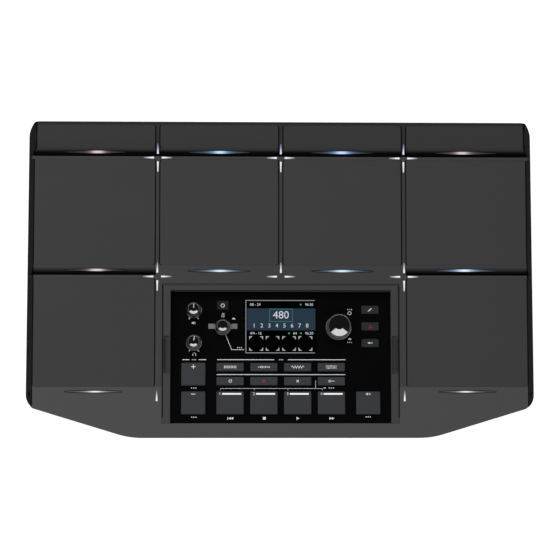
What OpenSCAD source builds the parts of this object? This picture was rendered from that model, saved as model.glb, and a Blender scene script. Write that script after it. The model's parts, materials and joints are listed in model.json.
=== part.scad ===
// Sampling percussion pad: ten rubber pads on a low wedge-shaped case, round a sunken control panel.
// The origin lies on the table under the middle of the case: +X is right, +Y is the rear, +Z is up.
// Sizes are millimetres, angles are degrees.

/* [Case] */
// Overall width
case_w = 470; // [462:1:490]
// Overall depth, from the front nose to the rear wall
case_d = 291.2; // [262:0.2:320]
// Set-back of each side at the rear corners
side_taper = 1; // [0:0.1:2]
// Height of the deck above the table at the rear cross rib
deck_h = 66; // [62:0.5:74]
// Slope of the deck, falling to the front
deck_tilt = 6; // [4.5:0.25:7]
// Slope of the apron in front of the front pads
apron_tilt = 10; // [8:0.5:12]
// Height of the parting line between the two shells
split_h = 22; // [18:0.5:24]
// Wall thickness of both shells
wall = 3; // [2.6:0.1:3.6]
// Width of the sloping band along each side, seen from above
edge_w = 6.4; // [4:0.1:7.5]
// Drop of that band from the deck to the upright side wall
edge_h = 12; // [9:0.5:15]
// Depth of the nose, from the side corners to the front edge
nose_d = 29.2; // [20:0.2:36]
// Width of the front edge between the slanted sides
nose_w = 278; // [250:1:310]
// Radius of the rear corners
rear_corner_r = 12; // [6:0.5:16]
// Radius of the corners between sides and slants
side_corner_r = 16; // [10:0.5:24]
// Radius of the soft corners between slants and front edge
nose_corner_r = 78; // [50:1:95]
// Rounding of the rear top edge
top_edge_r = 2.4; // [1:0.1:3]
// Rounding of the front top edge
nose_edge_r = 1; // [0.5:0.1:2]
// Lean of the front wall and the slants, inwards to the table
front_lean = 6.5; // [4:0.5:8]
// Set-back of the bottom cover at the parting line
cover_inset = 1; // [0.3:0.1:1.5]
// Height of the sloping lower edge of the bottom cover
cover_slope_h = 9; // [6:0.5:12]
// Set-back of that lower edge
cover_slope_w = 5; // [3:0.5:7]

/* [Pads] */
// Distance between the column ribs
col_pitch = 114; // [110:0.5:115]
// Distance from the rear wall to the rear cross rib
bar_row_d = 33.9; // [32:0.1:35.5]
// Distance from the second cross rib to the front edge of the nose
front_row_d = 147.2; // [146:0.2:152]
// Width of the ribs between pads
rib_w = 3; // [2.6:0.1:3.4]
// Gap on both sides of a column rib
seam_w = 0.9; // [0.6:0.1:1.1]
// Gap at the front and rear edges of a pad
edge_gap = 0.15; // [0.1:0.05:0.4]
// Chamfer along the rear edge of the cross ribs
rib_chamfer = 0.5; // [0.3:0.1:0.6]
// Depth of the strip between the main pads and the second cross rib
strip_d = 9.2; // [8.5:0.1:10.4]
// Depth of the two front pads
front_pad_d = 99.2; // [96:0.2:100]
// Case rim between an outer pad and the side band
side_rim = 0.8; // [0.6:0.1:1.6]
// Case rim between the bar pads and the rear wall
rear_rim = 4.1; // [3.2:0.1:5]
// Corner radius of the pads
pad_corner_r = 2.4; // [1:0.1:3.5]
// Rubber thickness under the deck plane
pad_t = 4; // [3:0.25:5]
// Height of the rubber above the deck plane
pad_proud = 0.1; // [0:0.05:0.5]
// Strike plate thickness
plate_t = 1.2; // [1:0.1:1.6]
// Foam cushion thickness
cushion_t = 3; // [2.5:0.25:4]
// Floor of the case under the cushions
floor_t = 2.5; // [2.2:0.1:3]
// Crest of the bar pads above the deck plane
bar_rise = 4.5; // [3.5:0.1:5.5]
// Distance of the bar crest from the rear wall
bar_crest_in = 12.8; // [11:0.1:14]
// Crown radius of the bar pads
bar_crown_r = 28; // [24:0.5:36]
// Plan depth of the riser in front of the bar pads
valley_d = 6.4; // [6:0.1:7.5]
// Depth of the valley below the deck plane
valley_dip = 2.5; // [1.5:0.1:3]
// Radius of the rolled front edge of the outer main pads
roll_r = 11.5; // [11:0.1:13]
// Radius of the sensor discs
sensor_r = 8; // [6:0.5:8.5]
// Thickness of the sensor discs
sensor_t = 0.8; // [0.5:0.1:1.2]

/* [Lights] */
// Length of a pad light lens
lens_l = 57; // [40:1:64]
// Length of the two front lenses
front_lens_l = 53; // [40:1:60]
// Width of a lens at its middle
lens_w = 3; // [2.4:0.1:3.4]
// Width of a lens at its ends
lens_end_w = 1; // [0.6:0.1:1.4]
// Thickness of a lens inside the case
lens_t = 2.2; // [1.6:0.1:2.3]
// Height of a lens above the surface around it
lens_proud = 0.3; // [0.1:0.05:0.5]
// Distance of the front lenses from the apron crease
front_lens_in = 4.5; // [4:0.5:8]
// Distance of the inner lenses from the front edge of their pads
inner_lens_in = 5.6; // [4:0.1:6.5]
// Distance from the middle of a star to the start of its rays
ray_start = 3.6; // [3:0.1:4.5]
// Length of a ray
ray_l = 9.5; // [8:0.1:10.5]
// Width of a ray at its root
ray_w = 2; // [1.6:0.05:2.1]
// Width of a ray at its tip
ray_tip_w = 1.2; // [0.8:0.05:1.4]
// Thickness of a ray inside its rib
ray_t = 2.4; // [1.6:0.1:2.6]
// Height of a ray above the rib
ray_proud = 0.15; // [0.05:0.05:0.3]
// Distance from the apron crease to the middle of the front stars
front_star_in = 16.6; // [15.5:0.1:20]
// Clearance of lenses and rays in their slots
light_fit = 0.1; // [0.05:0.05:0.15]

/* [Control panel] */
// Width of the black panel
panel_w = 203; // [202:0.5:207]
// Depth of the black panel along its slope
panel_d = 121.6; // [121:0.1:125]
// Thickness of the panel
panel_t = 2.5; // [2.2:0.1:2.8]
// Slope of the panel, falling to the front
panel_tilt = 3; // [2:0.25:4]
// Drop of the panel's front edge under the apron
panel_drop = 0.6; // [0.4:0.1:1.2]
// Distance from the second cross rib to the panel well
well_in = 6.6; // [5.5:0.1:7.5]
// Width of the surround's legs beside the panel
leg_w = 6.6; // [5.6:0.1:7]
// Width of the surround's rim behind the panel
rim_w = 4.5; // [4:0.1:5.4]
// Width of the dark groove round the surround
groove_w = 1.4; // [1:0.1:1.6]
// Depth of that groove
groove_d = 2.6; // [1.5:0.1:3.5]
// Width of the ledge that carries the panel
ledge_w = 3; // [2:0.1:3.4]
// Thickness of that ledge
ledge_t = 2; // [1.6:0.1:2.4]
// Length of the scoop in each leg of the rim
scoop_l = 34; // [24:1:40]
// Depth of the scoop
scoop_d = 1.6; // [0.8:0.1:2.2]
// Distance of the scoop's middle from the panel's middle, to the rear
scoop_v = 1.5; // [-8:0.5:8]
// Clearance of the surround and the panel in their seats
seat_fit = 0.2; // [0.15:0.05:0.3]
// Distance from the panel's face to the face of the board under it
board_drop = 11; // [10.6:0.1:12]
// Thickness of both circuit boards
board_t = 1.6; // [1.2:0.1:2]

/* [Buttons] */
// Distance between the columns of mode, function and track buttons
key_pitch = 31.1; // [30:0.1:32]
// Width of those buttons
key_w = 25.1; // [22:0.1:26]
// Height of the slim buttons
slim_key_h = 7.7; // [6.5:0.1:8.2]
// Height of the square buttons
tall_key_h = 21; // [18:0.1:21.6]
// Width of the outer buttons
outer_key_w = 22.2; // [20:0.1:23]
// Distance of the outer buttons from the panel's middle line
outer_key_u = 80.5; // [80:0.1:82.5]
// Place of the mode row in front of the panel's middle
mode_v = 9.1; // [8.6:0.1:10.2]
// Place of the function row in front of the panel's middle
function_v = 22.1; // [21.6:0.1:23]
// Place of the track row in front of the panel's middle
track_v = 42.1; // [41.8:0.1:43.5]
// Width of the three small buttons
small_key_w = 16.2; // [14:0.1:17]
// Distance between the three small buttons
small_key_pitch = 15.5; // [13:0.1:16]
// Distance of the small buttons from the panel's middle line
small_key_u = 82.8; // [82:0.1:84.5]
// Place of the middle small button behind the panel's middle
small_key_v = 28.8; // [27:0.1:30]
// Width of the power button
power_w = 10.9; // [9:0.1:12]
// Height of the power button
power_h = 8.5; // [7:0.1:9]
// Height of a button above the panel
key_proud = 1.8; // [1.4:0.1:2.4]
// Clearance of a button in its hole
key_fit = 0.35; // [0.25:0.05:0.45]
// Width of the flange that holds a button under the panel
key_flange = 1; // [0.8:0.1:1.2]
// Travel of a button
key_travel = 1; // [0.6:0.1:1]

/* [Knobs and display] */
// Distance of the volume knobs from the panel's middle line
volume_u = 80.3; // [80:0.1:82]
// Place of the main volume knob behind the panel's middle
main_volume_v = 43.7; // [42:0.1:46]
// Place of the phones knob behind the panel's middle
phones_v = 13.5; // [12:0.1:15]
// Distance of the metronome and value knobs from the panel's middle line
encoder_u = 53.6; // [53.5:0.1:55.5]
// Place of the metronome and value knobs behind the panel's middle
encoder_v = 28; // [26.5:0.1:28.5]
// Place of the power button behind the panel's middle
power_v = 48.3; // [47:0.1:48.5]
// Base radius of the three small knobs
small_knob_r = 7.6; // [6.5:0.1:8]
// Top radius of the three small knobs
small_knob_top_r = 5.9; // [5.4:0.1:6.4]
// Height of the three small knobs above the panel
small_knob_h = 13; // [11:0.5:15]
// Base radius of the value knob
value_knob_r = 12; // [11:0.1:12.5]
// Top radius of the value knob
value_knob_top_r = 10.9; // [10:0.1:11]
// Height of the value knob above the panel
value_knob_h = 14.5; // [12.5:0.5:16]
// Gap between a knob and the panel
knob_gap = 1.6; // [1.4:0.1:2]
// Depth of the dish in a knob's top
dish_d = 1.2; // [0.6:0.1:1.6]
// Radius of the knob shafts
shaft_r = 3; // [2.8:0.05:3.2]
// Running clearance of the shafts
shaft_fit = 0.05; // [0.03:0.01:0.1]
// Outer radius of the bushes that guide the shafts
bush_r = 4.5; // [4.2:0.1:4.8]
// Outer radius of the rotor rings in the push encoders
rotor_r = 5; // [4.6:0.1:5.2]
// Width of the rotary control bodies
control_w = 13; // [12.2:0.1:14]
// Travel of a pushed encoder knob
push_travel = 0.6; // [0.4:0.1:0.8]
// Width of the display window
window_w = 66.3; // [62:0.1:67]
// Height of the display window
window_h = 50.8; // [46:0.1:52]
// Place of the display window behind the panel's middle
window_v = 28.6; // [27:0.1:29]
// Thickness of the display window
window_t = 1.2; // [1:0.1:1.6]
// Ledge under the display window
window_ledge = 2; // [1.5:0.1:2.5]
// Thickness of the display module
module_t = 4; // [3:0.1:5]

/* [Rear sockets] */
// Height of the socket axes above the table
socket_z = 38; // [36:0.5:39]
// Width of the window in the rear wall
socket_window_w = 290; // [284:1:300]
// Height of the window in the rear wall
socket_window_h = 21; // [19:0.5:22]
// Thickness of the jack plate
jack_plate_t = 1.5; // [1.2:0.1:2]
// Distance between the phone jacks
jack_pitch = 24; // [22:0.5:25]
// Bore radius of a phone jack
jack_bore_r = 3.25; // [3.2:0.01:3.3]
// Depth of a phone jack's bore
jack_bore_l = 22; // [18:0.5:26]
// Radius of a phone jack's collar
jack_collar_r = 5.4; // [4.6:0.1:6]
// Bore radius of the mini jack
mini_bore_r = 1.8; // [1.75:0.01:1.85]
// Radius of the mini jack's collar
mini_collar_r = 3.2; // [2.8:0.1:3.6]
// Depth of the mini jack's bore
mini_bore_l = 13; // [11:0.5:15]
// Bore radius of the power inlet
dc_bore_r = 3; // [2.75:0.05:3.25]
// Radius of the pin in the power inlet
dc_pin_r = 1.05; // [0.85:0.05:1.25]
// Height of a collar or shell above the jack plate
collar_proud = 1.2; // [0.8:0.1:2]
// Clearance of collars and shells in the jack plate
collar_fit = 0.3; // [0.2:0.05:0.4]

/* [Base] */
// Height of the rubber feet under the cover
foot_h = 4; // [3:0.5:6]
// Radius of the rubber feet
foot_r = 10; // [8:0.5:12]
// Distance of the feet from the sides
foot_in_x = 40; // [36:1:60]
// Distance of the feet from the front and the rear
foot_in_y = 58; // [56:1:70]
// Width between the stand clamp holes
clamp_x = 100; // [90:1:110]
// Depth between the stand clamp holes
clamp_y = 70; // [60:1:76]
// Radius of the stand clamp holes
clamp_hole_r = 2.1; // [2:0.05:2.6]
// Depth of the stand clamp holes
clamp_hole_l = 12; // [9:0.5:13]
// Shaft radius of the case screws
screw_r = 1.4; // [1.2:0.05:1.6]
// Head radius of the case screws
screw_head_r = 3; // [2.6:0.1:3.2]
// Outer radius of the screw bosses
boss_r = 4.6; // [4.4:0.1:5.4]

/* [Hidden] */
$fn = 48;
// Small overlap that makes cuts run past the faces they open
past = 1;
// Reach of cutting and clipping solids beyond the case
reach = 40;

y_rear = case_d / 2;
y_front = -case_d / 2;
rib_1_y = y_rear - bar_row_d;
rib_2_y = y_front + front_row_d;
main_rear_y = rib_1_y - rib_w / 2 - edge_gap;
main_front_y = rib_2_y + rib_w / 2 + strip_d;
front_rear_y = rib_2_y - rib_w / 2 - edge_gap;
front_front_y = front_rear_y - front_pad_d;
crease_y = front_front_y - edge_gap;
bar_rear_y = y_rear - rear_rim;
bar_front_y = rib_1_y + rib_w / 2 + valley_d;
front_star_y = crease_y - front_star_in;

function deck_z(y) = deck_h + (y - rib_1_y) * tan(deck_tilt);
function apron_z(y) = deck_z(crease_y) - (crease_y - y) * tan(apron_tilt);

// Rounded rear pads: a shallow crown, then a straight riser down to the valley
crest_y = y_rear - bar_crest_in;
crest_z = deck_z(crest_y) + bar_rise;
function bar_z(y) = crest_z - bar_crown_r + sqrt(pow(bar_crown_r, 2) - pow(y - crest_y, 2));
valley_floor = 0.6;
valley_y = rib_1_y + rib_w / 2 + valley_floor;
valley_z = deck_z(valley_y) - valley_dip;
riser_tilt = atan2(bar_z(bar_front_y) - valley_z, bar_front_y - valley_y);

// Rolled front edge of the outer main pads, an arc that starts flat on the deck
roll_y = main_front_y - edge_gap;
roll_mid = [roll_y + roll_r * sin(deck_tilt), deck_z(roll_y) - roll_r * cos(deck_tilt)];
function roll_at(slope) = roll_mid + roll_r * [-sin(slope), cos(slope)];
roll_end_y = rib_2_y + rib_w / 2 + valley_floor;
roll_end = asin((roll_mid.x - roll_end_y) / roll_r);
roll_lens_turn = 26;
roll_lens_slope = deck_tilt + roll_lens_turn;

// Ramp of the ribs between the bar pads, from the deck up to the crown
ramp_back = 3.6;
ramp_rear_y = bar_front_y + ramp_back;
ramp_dip = 0.6;
ramp_y = rib_1_y + rib_w / 2;
ramp_tilt = atan2(bar_z(ramp_rear_y) - ramp_dip - deck_z(ramp_y), ramp_rear_y - ramp_y);

// Pad edges by column, from left to right
column_count = 4;
band_slope = edge_w / edge_h;
pad_outer_x = case_w / 2 - edge_w - side_rim - edge_gap;
bar_outer_x = pad_outer_x - bar_rise * band_slope;
// Plan edges [x0, x1, y0, y1] of the pads in a row; with room they are the edges of the pockets
function left_x(i, outer, room) =
    i == 0 ? -outer - room * edge_gap : (i - 2) * col_pitch + rib_w / 2 + (1 - room) * seam_w;
function right_x(i, outer, room) = -left_x(column_count - 1 - i, outer, room);
function pad_row(columns, outer, y0, y1, room) = [
    for (i = columns)
        [left_x(i, outer, room), right_x(i, outer, room), y0 - room * edge_gap, y1 + room * edge_gap]
];
all_columns = [0 : column_count - 1];
outer_columns = [0, column_count - 1];
inner_columns = [1, column_count - 2];
function pad_rows(room) = concat(
    pad_row(all_columns, bar_outer_x, bar_front_y + edge_gap, bar_rear_y - edge_gap, room),
    pad_row(all_columns, pad_outer_x, main_front_y, main_rear_y, room),
    pad_row(outer_columns, pad_outer_x, front_front_y, front_rear_y, room)
);
pads = pad_rows(0);
pockets = pad_rows(1);
function column_mid(i) = (left_x(i, pad_outer_x, 0) + right_x(i, pad_outer_x, 0)) / 2;
stack_t = pad_t + plate_t + cushion_t;
plate_inset = 1;
cushion_inset = 2;
cushion_band = 5;
sensor_gap = 1;
rib_end_w = 1.2;
rib_end_h = 8;
light_cut = 2;

// Panel well, surround and panel
well_rear_y = rib_2_y - well_in;
panel_rear_y = well_rear_y - groove_w - rim_w;
panel_front_y = panel_rear_y - panel_d * cos(panel_tilt);
well_front_y = panel_front_y - seat_fit;
well_w = panel_w + 2 * (leg_w + groove_w);
panel_front_z = apron_z(panel_front_y) - panel_drop;
panel_mid = [0, (panel_front_y + panel_rear_y) / 2, panel_front_z + panel_d * sin(panel_tilt) / 2];
function panel_z(y) = panel_front_z + (y - panel_front_y) * tan(panel_tilt);
skirt_t = 2.4;
lip_w = 2;
lip_t = 2;
scoop_in = 1;
scoop_out = 0.6;
plate_corner_r = 1;
panel_seat = panel_t / cos(panel_tilt);
surround_depth = panel_seat + ledge_t;

// Buttons as [u, v, width, height] on the panel, u to the right and v to the rear
key_columns = [for (i = [0 : 3]) (i - 1.5) * key_pitch];
mode_keys = [for (u = key_columns) [u, -mode_v, key_w, slim_key_h]];
function_keys = [for (u = key_columns) [u, -function_v, key_w, slim_key_h]];
track_keys = [for (u = key_columns) [u, -track_v, key_w, tall_key_h]];
pair_rear_v = -(mode_v + function_v) / 2;
plus_key = [-outer_key_u, pair_rear_v, outer_key_w, tall_key_h];
minus_key = [-outer_key_u, -track_v, outer_key_w, tall_key_h];
mute_key = [outer_key_u, -track_v, outer_key_w, tall_key_h];
power_key = [-encoder_u, power_v, power_w, power_h];
small_keys = [
    for (i = [1, 0, -1]) [small_key_u, small_key_v + i * small_key_pitch, small_key_w, slim_key_h]
];
keys = concat(mode_keys, function_keys, track_keys, small_keys, [plus_key, minus_key, mute_key, power_key]);
key_corner_r = 0.9;
key_chamfer = 0.5;
key_hang = 0.3;
key_flange_t = 1.2;
switch_w = 6;
switch_h = 3.4;
plunger_r = 1.7;
plunger_h = 0.7;
plunger_gap = 0.3;

// Knob axes as [u, v] on the panel
main_volume_at = [-volume_u, main_volume_v];
phones_at = [-volume_u, phones_v];
metronome_at = [-encoder_u, encoder_v];
value_at = [encoder_u, encoder_v];
shaft_top = 9.5;
control_h = 6.5;
control_floor = 1.2;
rotor_h = 3;
rotor_fit = 0.3;
bush_fit = 0.3;
shaft_end_gap = 0.3;
shaft_low = -board_drop + control_floor + shaft_end_gap;
pushed_shaft_low = shaft_low + push_travel;
flute_count = 30;
flute_depth = 0.32;
knob_skirt_h = 1.4;
knob_shoulder = 0.3;
knob_hollow = 4;
knob_wall = 1.4;
knob_hub_t = 1;
knob_press_fit = 0.02;
dish_margin = 1;
post_r = 2.6;
post_in = 7;
post_u = (1.5 * key_pitch + key_w / 2 + outer_key_u - outer_key_w / 2) / 2;
panel_posts = [for (s = [-1, 1], v = [panel_d / 2 - post_in, -(function_v + track_v) / 2]) [s * post_u, v]];
module_side = 4;
module_end = 2.6;
display_w = window_w + 2 * module_side;
display_h = window_h + 2 * module_end;
board_margin = 2.5;

// Rear sockets along the rear wall
plate_rear_y = y_rear - wall;
plate_front_y = plate_rear_y - jack_plate_t;
jack_count = 6;
last_jack_x = -6;
jack_x = [for (i = [0 : jack_count - 1]) last_jack_x - (jack_count - 1 - i) * jack_pitch];
mini_x = 20;
usb_a_x = 46;
usb_b_x = 74;
dc_x = 104;
jack_body = [15, 13.4, 27];
mini_body = [9, 9, 15];
dc_body = [11, 12, 15];
dc_collar_t = 1.6;
dc_back_t = 3;
usb_a_shell = [14.4, 7];
usb_b_shell = [12, 11];
usb_shell_t = 0.6;
usb_l = 17;
usb_a_tongue = [11, 1.9];
usb_a_tongue_y = -1;
usb_b_post = [5.6, 3.2];
usb_back_t = 3;
main_board_z = socket_z - jack_body.y / 2;
main_board_w = 282;
main_board_d = 74;
main_board_gap = 2;
main_board_y = plate_front_y - main_board_gap - main_board_d;
plate_margin = 3;

// Base: places of feet, screws and posts
base_floor_t = 3;
foot_recess = 1;
foot_flare = 1;
side_screw_in = 20;
rear_screw_in = 18;
front_screw_in = 46;
mid_screw_out = 8;
board_screw_gap = 20.4;
screw_places = [
    for (s = [-1, 1], p = [
        [case_w / 2 - side_screw_in, y_rear - rear_screw_in],
        [case_w / 2 - side_screw_in, rib_2_y],
        [case_w / 2 - front_screw_in, front_star_y],
        [col_pitch + mid_screw_out, main_board_y - board_screw_gap]
    ]) [s * p.x, p.y]
];
screw_hole_fit = 0.15;
screw_head_t = 1.5;
screw_head_fit = 0.3;
screw_bite = 9;
screw_slot_w = 0.8;
screw_slot_l = 3.6;
screw_slot_d = 0.8;
board_post_r = 3.4;
board_post_in = 8;
board_post_rear_in = 32;
board_posts = [
    for (s = [-1, 1], y = [board_post_in, main_board_d - board_post_rear_in])
        [s * (main_board_w / 2 - board_post_in), main_board_y + y]
];
clamp_boss_r = 6;

cavity_depth = stack_t + floor_t;
cavity_step = 5;
function cavity_top(y) = y > crease_y ? deck_z(y) - cavity_depth : apron_z(y) - wall;

button_names = concat(
    [for (i = [1 : 4]) str("mode_button_", i)],
    [for (i = [1 : 4]) str("function_button_", i)],
    [for (i = [1 : 4]) str("track_button_", i)],
    ["edit_button", "write_button", "exit_button"],
    ["plus_button", "minus_button", "mute_button", "power_button"]
);
pad_names = concat(
    [for (i = [1 : 4]) str("bar_pad_", i)],
    [for (i = [1 : 4]) str("main_pad_", i)],
    ["front_pad_left", "front_pad_right"]
);

// Shared outlines and frames

function unit(v) = v / norm(v);

// Points of the arc that rounds the corner p1 between p0 and p2
function corner_arc(p0, p1, p2, r, n) =
    let (
        a = unit(p0 - p1),
        b = unit(p2 - p1),
        half = acos(a * b) / 2,
        mid = p1 + unit(a + b) * r / sin(half),
        from = p1 + a * r / tan(half) - mid,
        start = atan2(from.y, from.x),
        turn = (180 - 2 * half) * sign(cross(p1 - p0, p2 - p1))
    )
    [for (i = [0 : n]) mid + r * [cos(start + turn * i / n), sin(start + turn * i / n)]];

function rounded(points, radii, n) =
    let (last = len(points))
    [
        for (i = [0 : last - 1])
            each corner_arc(points[(i + last - 1) % last], points[i], points[(i + 1) % last], radii[i], n)
    ];

function rounded_box(x0, x1, y0, y1, r, n = 5) =
    rounded([[x0, y0], [x1, y0], [x1, y1], [x0, y1]], [r, r, r, r], n);

// Case outline seen from above
module case_outline() {
    corner_y = y_front + nose_d;
    half = case_w / 2;
    rear_half = half - side_taper;
    arc_steps = 12;
    polygon(rounded(
        [[-half, corner_y], [-nose_w / 2, y_front], [nose_w / 2, y_front],
            [half, corner_y], [rear_half, y_rear], [-rear_half, y_rear]],
        [side_corner_r, nose_corner_r, nose_corner_r, side_corner_r, rear_corner_r, rear_corner_r],
        arc_steps
    ));
}

// Space behind the leaning front wall and slants, which start under the rounded front edge
module nose_space(inset) {
    lean_z = apron_z(y_front) - nose_edge_r / 2;
    slant = 2 * nose_d / (case_w - nose_w);
    half = case_w / 2 + reach;
    side_y = y_front + slant * (half - nose_w / 2);
    bend_r = nose_corner_r - wall;
    arc_steps = 9;
    translate([0, y_front, lean_z])
        rotate([front_lean, 0, 0])
            translate([0, -y_front, -case_d / 2])
                linear_extrude(case_d)
                    offset(delta = -inset)
                        polygon(rounded(
                            [[-half, side_y], [-nose_w / 2, y_front], [nose_w / 2, y_front],
                                [half, side_y], [half, y_rear + reach], [-half, y_rear + reach]],
                            [past, bend_r, bend_r, past, past, past],
                            arc_steps
                        ));
}

// Extrudes a (y, z) outline along x
module along_x(x0, x1) {
    translate([x0, 0, 0])
        rotate([90, 0, 90])
            linear_extrude(x1 - x0)
                children();
}

// Slab between two heights measured from the deck plane
module deck_layer(low, high) {
    y0 = y_front - reach;
    y1 = y_rear + reach;
    along_x(-case_w, case_w)
        polygon([
            [y0, deck_z(y0) + low], [y1, deck_z(y1) + low],
            [y1, deck_z(y1) + high], [y0, deck_z(y0) + high]
        ]);
}

// Upright prism over a pad's plan, with each edge set in
module pad_prism(pad, inset_x = 0, inset_y = 0) {
    linear_extrude(deck_h + reach)
        polygon(rounded_box(
            pad[0] + inset_x, pad[1] - inset_x, pad[2] + inset_y, pad[3] - inset_y, pad_corner_r
        ));
}

module on_deck(x, y) {
    translate([x, y, deck_z(y)])
        rotate([deck_tilt, 0, 0])
            children();
}

module on_apron(x, y) {
    translate([x, y, apron_z(y)])
        rotate([apron_tilt, 0, 0])
            children();
}

// Panel frame: u to the right, v up the slope, height from the panel's face
module on_panel(at = [0, 0]) {
    translate(panel_mid)
        rotate([panel_tilt, 0, 0])
            translate([at.x, at.y, 0])
                children();
}

// Socket frame: looks out of the rear wall, height from the jack plate's outer face
module at_rear(x) {
    translate([x, plate_rear_y, socket_z])
        rotate([-90, 0, 0])
            children();
}

module plate_box(w, h, low, high, r) {
    translate([0, 0, low])
        linear_extrude(high - low)
            polygon(rounded_box(-w / 2, w / 2, -h / 2, h / 2, r));
}

// Both sides of the case
module both_sides() {
    children();
    mirror([1, 0, 0])
        children();
}

// Upper case

// Chamfered rear edge of a cross rib, in the side view
function rib_edge(y) = [[y, deck_z(y) - rib_chamfer], [y - rib_chamfer, deck_z(y - rib_chamfer)]];

// Side view of the case: crowned rear, valley, sloping deck, apron
module case_profile() {
    arc_steps = 14;
    edge_steps = 6;
    rib_rear_y = rib_1_y + rib_w / 2;
    rear_top = [y_rear, bar_z(y_rear)];
    front_top = [y_front, apron_z(y_front)];
    crown = [
        for (i = [1 : arc_steps])
            let (y = y_rear - 2 * top_edge_r - (y_rear - 2 * top_edge_r - bar_front_y) * i / arc_steps)
            [y, bar_z(y)]
    ];
    polygon(concat(
        [[y_rear, split_h]],
        corner_arc([y_rear, split_h], rear_top, crown[0], top_edge_r, edge_steps),
        crown,
        [[valley_y, valley_z], [rib_rear_y, valley_z]],
        rib_edge(rib_rear_y),
        [[crease_y, deck_z(crease_y)]],
        corner_arc([crease_y, deck_z(crease_y)], front_top, [y_front, split_h], nose_edge_r, edge_steps),
        [[y_front, split_h]]
    ));
}

// Sloping band cut along the right side, parallel to the deck
module side_band_cut() {
    function band_x(h) = case_w / 2 - edge_w - h * band_slope;
    low = -edge_h - past;
    on_deck(0, rib_1_y)
        rotate([90, 0, 0])
            translate([0, 0, -reach - bar_row_d])
                linear_extrude(case_d + 2 * reach)
                    polygon([
                        [band_x(reach), reach], [band_x(low), low],
                        [case_w / 2 + reach, low], [case_w / 2 + reach, reach]
                    ]);
}

// Right end of a cross rib, carried over the side band
module rib_end(y) {
    band_x = case_w / 2 - edge_w;
    buried = 0.2;
    on_deck(0, y)
        rotate([90, 0, 0])
            translate([0, 0, -rib_w / 2])
                linear_extrude(rib_w)
                    polygon([
                        [band_x - past, -rib_end_h], [band_x - past, 0], [band_x + rib_end_w, 0],
                        [band_x + rib_end_h * band_slope - buried, -rib_end_h]
                    ]);
}

// Valley in front of the right outer main pad
module roll_cut() {
    steps = 10;
    rib_y = rib_2_y + rib_w / 2;
    top_z = deck_z(roll_y) + reach;
    arc = [for (i = [0 : steps]) roll_at(deck_tilt + (roll_end - deck_tilt) * i / steps)];
    along_x(col_pitch + rib_w / 2, case_w)
        polygon(concat(
            arc,
            [[rib_y, arc[steps].y]],
            rib_edge(rib_y),
            [[rib_y - rib_chamfer, top_z], [roll_y, top_z]]
        ));
}

// Space inside the upper case
module case_cavity() {
    inner_rear = y_rear - wall;
    inner_front = y_front + wall;
    step_y = crease_y - cavity_step;
    intersection() {
        linear_extrude(deck_h + reach)
            offset(delta = -wall)
                case_outline();
        along_x(-case_w, case_w)
            polygon([
                [inner_rear, split_h - past], [inner_rear, deck_z(inner_rear) - cavity_depth],
                [crease_y, deck_z(crease_y) - cavity_depth], [step_y, apron_z(step_y) - wall],
                [inner_front, apron_z(inner_front) - wall], [inner_front, split_h - past]
            ]);
        nose_space(wall);
    }
}

// Ramped rib between two bar pads
module bar_rib(x) {
    root_z = deck_z(ramp_y) - valley_dip - past;
    along_x(x - rib_w / 2, x + rib_w / 2)
        polygon([
            [ramp_y - past, root_z], [ramp_rear_y, root_z],
            [ramp_rear_y, bar_z(ramp_rear_y) - ramp_dip], [ramp_y, deck_z(ramp_y)],
            [ramp_y - past, deck_z(ramp_y - past)]
        ]);
}

// Upright cut over a rectangle of the well, above a plane parallel to the panel
module well_space(half_w, y0, y1, low) {
    along_x(-half_w, half_w)
        polygon([
            [y0, panel_z(y0) + low], [y1, panel_z(y1) + low], [y1, deck_h + reach], [y0, deck_h + reach]
        ]);
}

// Wall of the well that hangs under the deck round the surround
module well_skirt() {
    low = -surround_depth - lip_t;
    y0 = well_front_y - skirt_t;
    y1 = well_rear_y + skirt_t;
    along_x(-well_w / 2 - skirt_t, well_w / 2 + skirt_t)
        polygon([
            [y0, panel_z(y0) + low], [y1, panel_z(y1) + low], [y1, deck_z(y1) - floor_t],
            [crease_y, deck_z(crease_y) - floor_t], [y0, panel_z(y0) - panel_t]
        ]);
}

// Seams beside the ribs in front of the bar pads
module bar_seams() {
    for (i = [-1 : 1], s = [-1, 1]) {
        seam_x = i * col_pitch + s * (rib_w + seam_w) / 2;
        along_x(seam_x - seam_w / 2, seam_x + seam_w / 2)
            polygon([
                [ramp_y, valley_z], [bar_front_y + past, valley_z],
                [bar_front_y + past, crest_z + reach], [ramp_y, crest_z + reach]
            ]);
    }
}

module upper_case() {
    color("#3d3d3f")
        difference() {
            union() {
                difference() {
                    intersection() {
                        translate([0, 0, split_h])
                            linear_extrude(deck_h + reach)
                                case_outline();
                        along_x(-case_w, case_w)
                            case_profile();
                        nose_space(0);
                    }
                    both_sides()
                        side_band_cut();
                    both_sides()
                        roll_cut();
                    case_cavity();
                }
                for (i = [-1 : 1])
                    bar_rib(i * col_pitch);
                for (y = [rib_1_y, rib_2_y])
                    both_sides()
                        rib_end(y);
                well_skirt();
                for (p = screw_places)
                    translate([p.x, p.y, split_h])
                        cylinder(r = boss_r, h = cavity_top(p.y) - split_h + past);
            }
            for (pocket = pockets)
                intersection() {
                    pad_prism(pocket);
                    deck_layer(-stack_t, reach);
                }
            bar_seams();
            well_space(well_w / 2, well_front_y, well_rear_y, -surround_depth);
            well_space(well_w / 2 - lip_w, well_front_y + lip_w, well_rear_y - lip_w, -reach);
            lens_set(light_fit, light_cut);
            ray_set(light_fit, light_cut);
            for (p = screw_places)
                translate([p.x, p.y, split_h - past])
                    cylinder(r = screw_r + screw_hole_fit, h = screw_bite + 2 * past);
            translate([-socket_window_w / 2, y_rear - wall - past, socket_z - socket_window_h / 2])
                cube([socket_window_w, wall + 2 * past, socket_window_h]);
        }
}

// Pads and what lies under them

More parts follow.
